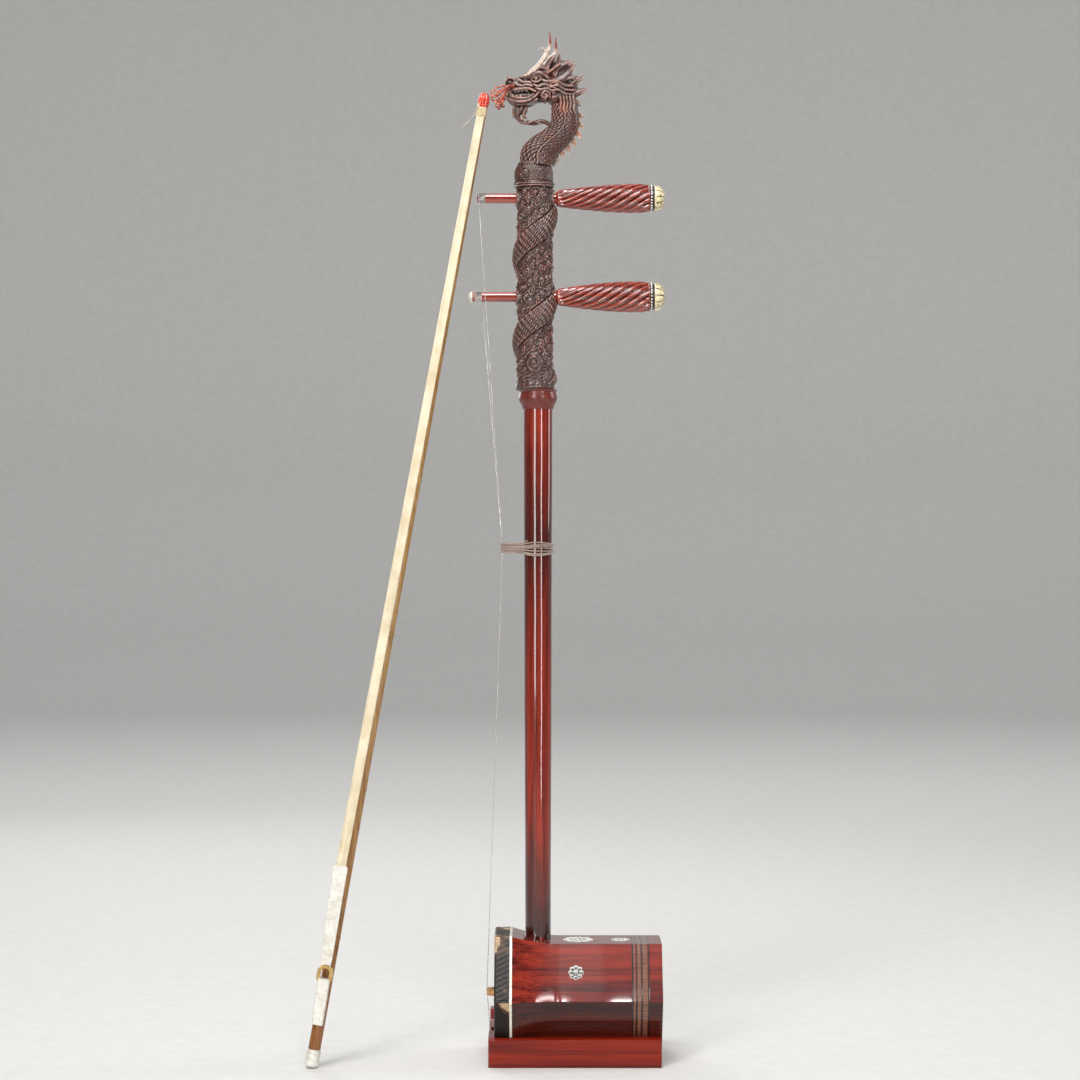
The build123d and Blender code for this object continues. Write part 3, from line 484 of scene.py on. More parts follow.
def finish_surface(tree, shader, colour, roughness=None, height=None, depth=0.0001, strength=1.0):
    tree.links.new(colour, shader.inputs["Base Color"])
    if roughness is not None:
        tree.links.new(roughness, shader.inputs["Roughness"])
    if height is not None:
        bump = put(tree, "Bump", Height=height, Distance=depth, Strength=strength)
        tree.links.new(bump.outputs["Normal"], shader.inputs["Normal"])


def wood(name, colours, along, across_mm=1.4, along_mm=45.0, gloss=(0.22, 0.38), coat=1.0,
         coat_roughness=0.05, coat_ior=1.6, pores=0.00006, cloud=0.3, shade_by=None):
    """Streaked wood, with its grain along one axis, under a clear lacquer."""
    material, tree, shader = surface(name, Coat_Weight=coat, Coat_Roughness=coat_roughness,
                                     Coat_IOR=coat_ior, Specular_IOR_Level=0.15)
    scale = [1 / (across_mm * MM)] * 3
    scale[along] = 1 / (along_mm * MM)
    streaks = noise(tree, place_over(tree, scale), 0.35, 8, 0.62, 0.5)
    fine = noise(tree, place_over(tree, [s * 3 for s in scale]), 1.0, 4, 0.6)
    clouds = noise(tree, place_over(tree, [s * 0.12 for s in scale]), 1.0, 3, 0.5)
    depth = weighed(tree, (streaks, 0.62), (fine, 0.38 - cloud * 0.5), (clouds, cloud * 0.5))
    dark, middle, light = colours
    colour = ramp(tree, depth, (0.36, dark), (0.47, middle), (0.60, light))
    if shade_by is not None:
        colour = shade_by(tree, colour)
    roughness = ramp(tree, fine, (0.3, gloss[0]), (0.7, gloss[1]))
    finish_surface(tree, shader, colour, roughness, fine, pores, 0.5)
    return material


ALONG_X, ALONG_Y, ALONG_Z = 0, 1, 2  # which way a wood's grain runs


def attribute(tree, name):
    return put(tree, "Attribute", {"attribute_name": name}).outputs["Fac"]


# ------------------------------------------------------------------ materials
def height_of(tree):
    where = put(tree, "TexCoord").outputs["Object"]
    return put(tree, "SeparateXYZ", Vector=where).outputs["Z"]


def along_span(tree, value, span):
    """How far a value is along a span, from 0 to 1."""
    return put(tree, "MapRange", n0=value, n1=span[0], n2=span[1], n3=0.0, n4=1.0).outputs[0]


NECK_SHADE_Z = (0.09, 0.53)  # the span of the neck's shading, in metres


def neck_painted_shade(tree, colour):
    """Painted shade turns the neck nearly black towards the soundbox; it is also darker round the nut."""
    height = height_of(tree)
    clouds = noise(tree, grains(tree, 9, 9, 60), 1.0, 5, 0.6)
    uneven = calc(tree, "MULTIPLY", calc(tree, "SUBTRACT", clouds, 0.5), 0.11)
    height = calc(tree, "ADD", height, uneven)
    share = along_span(tree, height, NECK_SHADE_Z)
    shaded = ramp(tree, share, (0.0, 0.10), (0.08, 0.22), (0.22, 0.95), (0.52, 1.0), (0.64, 0.55),
                  (0.74, 0.30), (0.83, 0.60), (0.95, 1.0))
    return mixed(tree, 1.0, colour, shaded, "MULTIPLY")


def cut_shade_and_dirt(tree, colour):
    """Painted shade, with some dirt: the cuts of a carved or fluted shape are coloured darker."""
    stands = calc(tree, "ADD", calc(tree, "MULTIPLY", attribute(tree, "crest"), 0.5), 0.5)
    return mixed(tree, 1.0, colour, ramp(tree, stands, (0.08, 0.03), (0.36, 0.40), (0.52, 1.0)),
                 "MULTIPLY")


RED_DARK = (0.020, 0.0018, 0.0012)
red_panels = wood("red_lacquer_wood", (RED_DARK, (0.125, 0.0075, 0.0035), (0.29, 0.023, 0.008)),
                  ALONG_X, 2.6, 90, coat_roughness=0.03, pores=0.00002)
# the soundbox's downward-facing panels get a darker version of the red lacquer: painted shade
red_painted_shade = wood("red_lacquer_painted_shade",
               ((0.006, 0.0008, 0.0006), (0.036, 0.0042, 0.0024), (0.085, 0.011, 0.0045)),
               ALONG_X, 2.2, 75, coat=0.6, coat_roughness=0.12)
red_base = wood("red_lacquer_base",
                ((0.055, 0.0030, 0.0010), (0.16, 0.0075, 0.0016), (0.27, 0.018, 0.0030)),
                ALONG_X, 3.2, 120, coat=0.6, coat_ior=1.4)
# the neck's colour carries painted shade, nearly black towards the soundbox
red_neck = wood("red_lacquer_neck", (RED_DARK, (0.15, 0.010, 0.0045), (0.33, 0.030, 0.011)),
                ALONG_Z, 1.3, 70, shade_by=neck_painted_shade)
# the pegs' flutes are darkened in their cuts with painted shade
red_pegs = wood("red_lacquer_pegs",
                ((0.045, 0.004, 0.002), (0.19, 0.014, 0.004), (0.38, 0.042, 0.010)),
                ALONG_X, 0.9, 30, coat_roughness=0.07, coat_ior=1.95, shade_by=cut_shade_and_dirt)
knob_wood = wood("knob_wood",
                 ((0.16, 0.010, 0.005), (0.50, 0.030, 0.012), (0.80, 0.10, 0.035)),
                 ALONG_Z, 0.8, 9)
dark_inlay = wood("dark_inlay",
                  ((0.004, 0.002, 0.002), (0.013, 0.005, 0.004), (0.030, 0.010, 0.007)),
                  ALONG_Y, 0.8, 12)
pale_inlay = wood("pale_inlay",
                  ((0.085, 0.028, 0.016), (0.16, 0.062, 0.036), (0.25, 0.12, 0.075)),
                  ALONG_X, 0.7, 6)
bridge_wood = wood("bridge_wood",
                   ((0.22, 0.10, 0.040), (0.42, 0.22, 0.09), (0.60, 0.36, 0.17)),
                   ALONG_Y, 0.6, 8, gloss=(0.45, 0.6), coat=0.15)


def redder_foot(tree, colour):
    """Bamboo that turns darker and redder towards its foot."""
    low = along_span(tree, height_of(tree), (0.0, 0.30))
    return mixed(tree, 1.0, colour, ramp(tree, low, (0.0, (0.55, 0.34, 0.22)), (1.0, (1, 1, 1))),
                 "MULTIPLY")


bamboo = wood("bamboo", ((0.19, 0.080, 0.022), (0.40, 0.21, 0.065), (0.58, 0.36, 0.14)),
              ALONG_Z, 0.5, 90, gloss=(0.28, 0.4), coat=0.6, coat_roughness=0.12,
              shade_by=redder_foot)


def carved_wood(name, cut, plain, crest, warm):
    """Dark waxed carving: painted shade makes its cuts nearly black; its crests are warmer, partly wear and partly
    painted highlight.
    """
    material, tree, shader = surface(name, Coat_Weight=0.75, Coat_Roughness=0.2,
                                     Specular_IOR_Level=0.3)
    grain = noise(tree, grains(tree, 1.2, 1.2, 14), 0.6, 7, 0.6, 0.3)
    patches = noise(tree, grains(tree, 16), 1.0, 3, 0.5)
    wear_and_shade = attribute(tree, "crest")
    spread = calc(tree, "ADD", calc(tree, "MULTIPLY", wear_and_shade, 0.42),
                  calc(tree, "ADD", 0.5, calc(tree, "MULTIPLY",
                                              calc(tree, "SUBTRACT", grain, 0.5), 0.5)))
    # the cut colour is painted shade in the hollows; the crest and warm colours are partly wear and partly painted
    # highlight
    brown = ramp(tree, spread, (0.20, cut), (0.47, plain), (0.70, crest), (0.92, warm))
    colour = mixed(tree, ramp(tree, patches, (0.45, 0.0), (0.68, 0.55)), brown,
                   mixed(tree, 1.0, brown, (1.5, 0.72, 0.55), "MULTIPLY"))
    roughness = ramp(tree, spread, (0.2, 0.62), (0.5, 0.40), (0.85, 0.24))
    finish_surface(tree, shader, colour, roughness, grain, 0.00008, 0.5)
    return material


carved_dark = carved_wood("carved_dark_wood", (0.004, 0.0014, 0.0012), (0.040, 0.017, 0.013),
                          (0.105, 0.050, 0.039), (0.31, 0.19, 0.155))
carved_red = carved_wood("carved_red_wood", (0.012, 0.002, 0.0015), (0.105, 0.012, 0.007),
                         (0.24, 0.035, 0.017), (0.48, 0.15, 0.08))
carved_tan = carved_wood("carved_tan_wood", (0.020, 0.008, 0.005), (0.14, 0.075, 0.045),
                         (0.32, 0.21, 0.14), (0.58, 0.46, 0.36))


# the horns' pale length is partly a painted highlight
HORN_RED_Z = (0.8065, 0.8115)  # where the horns turn from pale to red, in metres


def horn(name):
    """Horn: pale and waxy along its length, the pale partly a painted highlight, and deep red at the tip."""
    material, tree, shader = surface(name, Coat_Weight=0.9, Coat_Roughness=0.06)
    grain = noise(tree, grains(tree, 0.6, 0.6, 7), 1.0, 6, 0.6)
    pale = ramp(tree, grain, (0.34, (0.26, 0.15, 0.10)), (0.5, (0.52, 0.40, 0.31)),
                (0.64, (0.76, 0.66, 0.56)))
    red = ramp(tree, grain, (0.34, (0.06, 0.004, 0.003)), (0.64, (0.30, 0.022, 0.010)))
    tip = along_span(tree, height_of(tree), HORN_RED_Z)
    finish_surface(tree, shader, mixed(tree, tip, pale, red),
                   ramp(tree, grain, (0.3, 0.20), (0.7, 0.36)), grain, 0.00006, 0.5)
    return material


horn_with_painted_highlight = horn("horn_with_painted_highlight")


def plain_hard(name, tint, shadow, roughness, spots_mm=1.5, bump=0.00003, **shader_inputs):
    """A hard finish with faint clouding, fine scuffs and a little relief."""
    material, tree, shader = surface(name, **shader_inputs)
    clouds = noise(tree, grains(tree, spots_mm * 4), 1.0, 4, 0.6)
    scuffs = noise(tree, grains(tree, spots_mm), 1.0, 6, 0.7, 0.4)
    colour = ramp(tree, weighed(tree, (clouds, 0.7), (scuffs, 0.3)), (0.32, shadow), (0.58, tint))
    finish_surface(tree, shader, colour,
                   ramp(tree, scuffs, (0.35, roughness[0]), (0.7, roughness[1])),
                   scuffs, bump, 0.4)
    return material


white_edging = plain_hard("white_edging", (0.80, 0.78, 0.71), (0.58, 0.53, 0.42), (0.20, 0.36),
                          Coat_Weight=0.6, Coat_Roughness=0.08)
white_plastic = plain_hard("white_plastic", (0.76, 0.74, 0.69), (0.56, 0.52, 0.43), (0.22, 0.38),
                           2.5, Coat_Weight=0.5, Coat_Roughness=0.1)
brass = plain_hard("brass", (0.80, 0.56, 0.24), (0.46, 0.28, 0.10), (0.16, 0.34), 1.2, 0.00004,
                   Metallic=1.0)
steel = plain_hard("steel", (0.60, 0.60, 0.60), (0.34, 0.33, 0.32), (0.22, 0.42), 1.2, 0.00004,
                   Metallic=1.0)
eye_bead = plain_hard("eye_bead", (0.16, 0.085, 0.050), (0.030, 0.014, 0.010), (0.05, 0.12),
                      1.2, 0.00001, Coat_Weight=1.0, Coat_Roughness=0.03)


def shell(name, pale, shadow, green, pink, shade_by=None):
    """Pearl shell: layered clouds that drift between pale, greenish and pinkish."""
    material, tree, shader = surface(name, Coat_Weight=1.0, Coat_Roughness=0.04,
                                     Thin_Film_Thickness=380.0, Thin_Film_IOR=1.4)
    drift = noise(tree, grains(tree, 3.2), 1.0, 4, 0.6, 1.4)
    layers = noise(tree, grains(tree, 1.1, 1.1, 4),
                   1.0, 6, 0.65, 0.8)
    tint = ramp(tree, drift, (0.32, shadow), (0.43, green), (0.52, pale), (0.62, pink),
                (0.70, pale))
    colour = mixed(tree, 0.35, tint, ramp(tree, layers, (0.35, shadow), (0.6, (1, 1, 1))),
                   "MULTIPLY")
    if shade_by is not None:
        colour = shade_by(tree, colour)
    finish_surface(tree, shader, colour, ramp(tree, layers, (0.3, 0.14), (0.7, 0.34)), layers,
                   0.00006, 0.5)
    return material


shell_inlay = shell("shell_inlay", (0.84, 0.83, 0.77), (0.48, 0.47, 0.38),
                    (0.62, 0.78, 0.66), (0.86, 0.70, 0.70))
# the cuts between the cap's shell slices are darkened, partly with painted shade
cap_pearl = shell("cap_pearl", (0.84, 0.75, 0.50), (0.24, 0.17, 0.06),
                  (0.58, 0.50, 0.22), (0.84, 0.66, 0.42), cut_shade_and_dirt)


def spun(name, tint, shadow, strand_mm, roughness=(0.5, 0.75), sheen=0.4, **shader_inputs):
    """Thread, hair or felt: fine fibres of uneven colour."""
    material, tree, shader = surface(name, Sheen_Weight=sheen, Sheen_Roughness=0.4,
                                     **shader_inputs)
    fibres = noise(tree, grains(tree, strand_mm), 1.0, 6, 0.7, 0.6)
    patches = noise(tree, grains(tree, strand_mm * 22), 1.0, 3, 0.5)
    colour = ramp(tree, weighed(tree, (fibres, 0.6), (patches, 0.4)), (0.34, shadow), (0.62, tint))
    finish_surface(tree, shader, colour,
                   ramp(tree, fibres, (0.3, roughness[0]), (0.7, roughness[1])),
                   fibres, strand_mm * MM * 0.5, 0.6)
    return material


thread = spun("thread", (0.40, 0.31, 0.25), (0.12, 0.07, 0.05), 0.35, (0.28, 0.5), 0.6,
              Coat_Weight=0.35, Coat_Roughness=0.25)
binding_thread = spun("binding_thread", (0.74, 0.64, 0.42), (0.42, 0.31, 0.15), 0.3)
felt = spun("felt", (0.33, 0.035, 0.035), (0.12, 0.010, 0.012), 0.25, (0.85, 0.95), 0.8)
horse_hair = spun("horse_hair", (0.86, 0.79, 0.62), (0.60, 0.49, 0.30), 0.6, (0.38, 0.55), 0.2)
steel_string, string_tree, string_shader = surface("steel_string", Metallic=1.0)
wound = put(string_tree, "TexWave", {"wave_type": "BANDS", "bands_direction": "Z"},
            Vector=grains(string_tree, 0.24), Scale=0.32,
            Distortion=0.2).outputs["Fac"]
tarnish = noise(string_tree, grains(string_tree, 9), 1.0, 5, 0.6)
finish_surface(string_tree, string_shader,
               ramp(string_tree, tarnish, (0.3, (0.52, 0.48, 0.44)), (0.6, (0.86, 0.84, 0.82))),
               ramp(string_tree, tarnish, (0.3, 0.34), (0.7, 0.20)), wound, 0.00004, 0.6)


def snake(name):
    """Snake skin: the scales' colours come with the mesh, under a thin dull varnish."""
    material, tree, shader = surface(name, Coat_Weight=0.15, Coat_Roughness=0.3,
                                     Specular_IOR_Level=0.25)
    hue = put(tree, "Attribute", {"attribute_name": "scale_colour"}).outputs["Color"]
    flecks = noise(tree, grains(tree, 0.5), 1.0, 6, 0.7)
    colour = mixed(tree, 0.7, hue, ramp(tree, flecks, (0.3, 0.45), (0.65, 1.15)), "MULTIPLY")
    finish_surface(tree, shader, colour, ramp(tree, flecks, (0.3, 0.30), (0.7, 0.50)), flecks,
                   0.00008, 0.5)
    return material


snake_skin = snake("snake_skin")

# ------------------------------------------------------------------ base and soundbox
dressed("base_block", red_base, 1.0, 4)
dressed("base_screws", steel, 0.2)
dressed("string_hitch", brass, 0.2)
for flat in ("top", "upper_near", "lower_near", "bottom", "lower_far", "upper_far"):
    # the panels that face down take the darker lacquer, painted shade
    lacquer = red_painted_shade if flat in ("lower_near", "bottom", "lower_far") else red_panels
    dressed("soundbox_" + flat, lacquer, 0.25, 2, 32, eased=7.0)
dressed("rear_rings", dark_inlay, 0.12, 1)


def hexagon_hoop(low_x, high_x, outer, inner):
    """A flat hoop round the soundbox, between two places along it."""
    turn = radians(30) + circle(6)
    corners = np.stack([0 * turn, np.cos(turn - pi / 6), np.sin(turn - pi / 6)], 1)
    loops = [corners * r / cos(pi / 6) + (x, 0, BOX_Z)
             for x, r in ((low_x, inner), (low_x, outer), (high_x, outer), (high_x, inner),
                          (low_x, inner))]
    return skin(np.array(loops), ends=False)


PALE_LINES = ((75.4, 76.8), (78.5, 81.1), (82.6, 86.3))
piece("rear_pale_lines", "rear_rings",
      [hexagon_hoop(low_x, high_x, WAIST_APOTHEM + 0.05, WAIST_APOTHEM - 0.5)
       for low_x, high_x in PALE_LINES], pale_inlay, replaces=False)
dressed("sound_window", carved_dark, 0.5, 3)
dressed("skin_edge_band", white_edging, 0.25)


def hexagon_walk(count):
    """Directions out from the tube's axis to a hexagon's edge, and their flats' normals.

    The first array holds (y, z) for an apothem of 1, the second each flat's own (y, z) normal.
    """
    edge, normal = [], []
    for flat in range(6):
        angle = radians(60 * flat)
        out = np.array([-sin(angle), cos(angle)])
        along = np.array([-cos(angle), -sin(angle)])
        for share in (np.arange(count) + 0.5) / count - 0.5:
            edge.append(out + along * share * HEX_SIDE)
            normal.append(out)
    return np.array(edge), np.array(normal)


# patches on the near edge, paler or darker: y and z from the tube's axis, reach, and how much
SKIN_PATCHES = ((-62.0, -5.0, 6.5, 3.2), (-50.0, 38.0, 3.6, 1.0), (-50.0, 24.0, 9.0, -1.8),
                (-56.0, 13.0, 4.5, 1.3), (-52.0, -22.0, 13.0, -2.0), (-40.0, 50.0, 9.0, -1.0))


def skin_colour(place, cell_a, cell_b):
    """Brown scales in dark diamond blotches on a pale ground, one colour for each scale."""
    chance = np.sin(cell_a * 12.9898 + cell_b * 78.233) * 43758.5453
    chance = chance - np.floor(chance)
    spot = np.zeros(place.shape[:-1] + (3,))
    spot[..., :2] = place
    blotch = ripple(spot, 52.0, 5, 9) + 0.45 * ripple(spot, 17.0, 9, 9) + (chance - 0.5) * 0.55
    for at_y, at_z, reach, more in SKIN_PATCHES:
        away = np.hypot(place[..., 0] - at_y, place[..., 1] - at_z) / reach
        blotch = blotch + more * np.exp(-away**2)
    dark, brown, pale = np.array([(0.010, 0.006, 0.004), (0.075, 0.036, 0.020),
                                  (0.44, 0.30, 0.17)])
    low = held((blotch + 0.55) / 0.5)[..., None]
    high = held((blotch - 0.55) / 0.3)[..., None]
    colour = dark * (1 - low) + brown * low
    return (colour * (1 - high) + pale * high) * (0.75 + 0.5 * chance[..., None])


def stretched_skin():
    """The skin: over the front, round the rim, and back along the tube as far as the band."""
    edge, normal = hexagon_walk(118)
    rim = 1.3
    front_rows = np.concatenate([[0.3], np.linspace(1.2, SKIN_APOTHEM - rim, 104)])
    rows = []  # how far out, how far back, and how far to shift out for the pattern
    for out in front_rows:
        rows.append((out, 0.0, 0.0))
    for turn in np.linspace(0, pi / 2, 5)[1:]:
        rows.append((SKIN_APOTHEM - rim + rim * sin(turn), rim * (1 - cos(turn)), rim * turn * 0.5))
    for back in np.linspace(rim, SKIN_SKIRT_X - SKIN_FRONT_X, 26)[1:]:
        rows.append((SKIN_APOTHEM, back, back))
    rows.append((FRONT_APOTHEM, SKIN_SKIRT_X - SKIN_FRONT_X, SKIN_SKIRT_X - SKIN_FRONT_X))
    out, back, shift = np.array(rows).T
    flat_place = edge[None] * out[:, None, None] + normal[None] * shift[:, None, None]
    size_a, size_b = 3.9, 3.3
    lean = radians(33)
    u = flat_place[..., 0] * cos(lean) + flat_place[..., 1] * sin(lean)
    v = -flat_place[..., 0] * cos(lean) + flat_place[..., 1] * sin(lean)
    cell_a, cell_b = np.round(u / size_a), np.round(v / size_b)
    in_a, in_b = 2 * (u / size_a - cell_a), 2 * (v / size_b - cell_b)
    cushion = (1 - np.abs(in_a) ** 4) * (1 - np.abs(in_b) ** 4)
    lift = 0.16 * cushion - 0.16
    rear = 1 - held((back - 8.0) / 4.0) * 0.5
    lift = lift * rear[:, None]
    # outward direction of each row: forward on the face, sideways on the skirt
    sideways = held(back / rim)
    points = np.empty(flat_place.shape[:2] + (3,))
    points[..., 0] = SKIN_FRONT_X + back[:, None] - lift * (1 - sideways[:, None])
    rounding = 1 - 0.006 * (np.linalg.norm(edge, axis=1)[None] > 1.13)
    spread = edge[None] * (out[:, None, None] * rounding[..., None])
    spread = spread + normal[None] * (lift * sideways[:, None])[..., None]
    points[..., 1], points[..., 2] = spread[..., 0], BOX_Z + spread[..., 1]
    shape = skin(points, ends=True)
    return shape, skin_colour(flat_place, cell_a, cell_b)


skin_shape, scale_tints = stretched_skin()
snake_piece = piece("snake_skin_front", "snake_skin", [skin_shape], snake_skin)
tints = np.concatenate([scale_tints.reshape(-1, 3), np.ones((scale_tints[..., 0].size, 1))], 1)
snake_piece.data.color_attributes.new("scale_colour", "FLOAT_COLOR", "POINT").data.foreach_set(
    "color", tints.astype(np.float32).ravel())


# ------------------------------------------------------------------ shell flowers
def ring_line(centre, e1, e2, r, turn=0.0, count=24):
    around = turn + 2 * pi * np.arange(count + 1) / count
    return centre + r * (np.cos(around)[:, None] * e1 + np.sin(around)[:, None] * e2)


def inlaid_flower(node, angle, at_x, petals, middle_r, petal_r, petal_at, scale=1.0):
    """A dark ground with a shell outline round each petal, shell dots, and a beaded centre."""
    out = np.array([0, -sin(radians(angle)), cos(radians(angle))])
    e1 = np.array([1.0, 0, 0])
    e2 = np.cross(out, e1)
    centre = np.array([at_x, 0, BOX_Z]) + out * WAIST_APOTHEM
    wire = 0.30 * scale
    white, dark = [], []

    def disc(place, r, low, high):
        profile = [(low, 0.02), (low, r), (high - 0.04, r), (high, r - 0.12), (high, 0.02)]
        return lathe(profile, place, out, 28)

    def bead(place, r):
        return lathe([(-0.2, 0.02), (-0.2, r), (0.02, r), (0.14, r * 0.72), (0.2, 0.02)],
                     place, out, 12)

    dark.append(disc(centre, middle_r, -0.75, 0.04))
    for petal in range(petals):
        turn = 2 * pi * petal / petals
        place = centre + petal_at * (cos(turn) * e1 + sin(turn) * e2)
        dark.append(disc(place, petal_r - 0.02, -0.75, 0.06))
        outward = unit(place - centre)
        sideways = np.cross(out, outward)
        # the outline runs round the petal's outer side, and two veins run down inside it
        reach = np.linspace(-2.15, 2.15, 22)
        line = place + out * 0.02 + (petal_r - wire) * (
            np.cos(reach)[:, None] * outward + np.sin(reach)[:, None] * sideways)
        white.append(tube(line, wire, 8, up=out, flat=1.0))
        white.append(bead(place + outward * petal_r * 0.22, wire * 0.85))
        for side in (-1, 1):
            root = centre + outward * middle_r * 0.42
            tip = place + outward * petal_r * 0.05 + sideways * side * petal_r * 0.42
            white.append(tube(np.linspace(root, tip, 5) + out * 0.02, wire * 0.26, 6, up=out))
    white.append(tube(ring_line(centre + out * 0.02, e1, e2, middle_r * 0.36), wire * 0.7, 8,
                      up=out, rounded=False))
    white.append(bead(centre, middle_r * 0.15))
    for dot in range(petals):
        turn = 2 * pi * (dot + 0.5) / petals
        white.append(bead(centre + middle_r * 0.74 * (cos(turn) * e1 + sin(turn) * e2), wire * 0.7))
    piece(node + "_shell", node, white, shell_inlay)
    piece(node + "_ground", node, dark, dark_inlay, replaces=False)


inlaid_flower("side_flower_near", 60, 30.0, 8, 3.6, 1.9, 4.2)
inlaid_flower("side_flower_far", 300, 30.0, 8, 3.6, 1.9, 4.2)
inlaid_flower("top_flower_large", 0, 32.2, 8, 8.0, 3.6, 8.6, 1.9)
inlaid_flower("top_flower_small", 0, 66.0, 6, 4.6, 2.6, 4.8, 1.4)


# ------------------------------------------------------------------ neck and collar
def neck_profile():
    z = np.linspace(NECK_Z[0], NECK_Z[1] + 1.0, 260)
    share = (z - NECK_Z[0]) / (NECK_Z[1] - NECK_Z[0])
    return np.stack([z, NECK_FOOT_R + (NECK_TOP_R - NECK_FOOT_R) * share], 1)


def hand_worked(along, around):
    """The faint unevenness of a hand-planed rod."""
    return 0.05 * np.sin(along / 37 + 2 * around) + 0.03 * np.sin(along / 11 + around * 3)


piece("neck_rod_finished", "neck_rod", [lathe(neck_profile(), (0, 0, 0), (0, 0, 1), 96,
                                              hand_worked)], red_neck)
collar_profile = smooth_line([(519.6, 11.2, 0), (519.9, 12.3, 0), (522.0, 12.9, 0),
                              (525.5, 14.6, 0), (528.5, 15.4, 0), (531.5, 14.9, 0),
                              (533.4, 14.5, 0), (534.4, 15.1, 0), (535.4, 15.2, 0),
                              (536.0, 11.6, 0)], 60)[:, :2]
piece("neck_collar_finished", "neck_collar", [lathe(collar_profile, (0, 0, 0), (0, 0, 1), 96)],
      carved_red)


# ------------------------------------------------------------------ carved column
def round_scales(along, across, size):
    """Overlapping round scales, their free edges towards +along: heights from 0 to 1."""
    step = size * 0.55
    reach = size * 0.64
    first = np.floor(along / step)
    height = np.zeros(np.broadcast(along, across).shape)
    for ahead in (2, 1, 0, -1):
        row = first + ahead
        odd = 0.5 * (row % 2)
        column = np.round(across / size - odd) + odd
        da = (along - row * step) / reach
        dc = (across - column * size) / (size * 0.56)
        inside = da**2 + dc**2 < 1
        dome = 0.42 + 0.42 * da + 0.16 * np.sqrt(held(1 - da**2 - dc**2))
        groove = 0.10 * (np.abs(dc) < 0.10) * (da < 0.55)
        height = np.where(inside, dome - groove, height)
    return height


def slanted_scales(along, across, row=3.1, step=2.5, slant=34.0):
    """Combs of beady scales that run slantwise over a band: heights from 0 to 1."""
    c, s = cos(radians(slant)), sin(radians(slant))
    lane = (across * c - along * s) / row
    number = np.floor(lane)
    aside = 2 * (lane - number) - 1
    place = (along * c + across * s) / step + 0.5 * (number % 2) + 0.45 * aside**2
    risen = place - np.floor(place)
    return np.sqrt(held(1 - aside**2)) * (0.40 + 0.60 * np.sin(pi * risen**1.4))


def volute(along, across, r, turn, hand):
    """A carved scroll: a round boss whose spiral groove runs in to a bead."""
    d = np.sqrt(along**2 + across**2)
    angle = np.arctan2(across, along) + turn
    groove = 0.5 + 0.5 * np.cos(2 * pi * d / (r / 2.2) - hand * angle)
    boss = held(1 - (d / r) ** 5)
    bead = held(1 - (d / (r * 0.24)) ** 2)
    return boss * (0.42 + 0.58 * groove ** 0.7) + 0.5 * np.sqrt(bead)


# medallions on the column's near side: height, x and radius
MEDALLIONS = ((707.6, -10.6, 3.6), (556.0, -3.3, 8.2), (640.6, 0.6, 2.7), (628.5, -9.5, 4.4),
              (631.0, 4.0, 4.2), (611.0, 4.6, 3.6), (604.5, -8.0, 3.4), (690.0, 6.0, 4.0),
              (678.0, -9.0, 3.4))


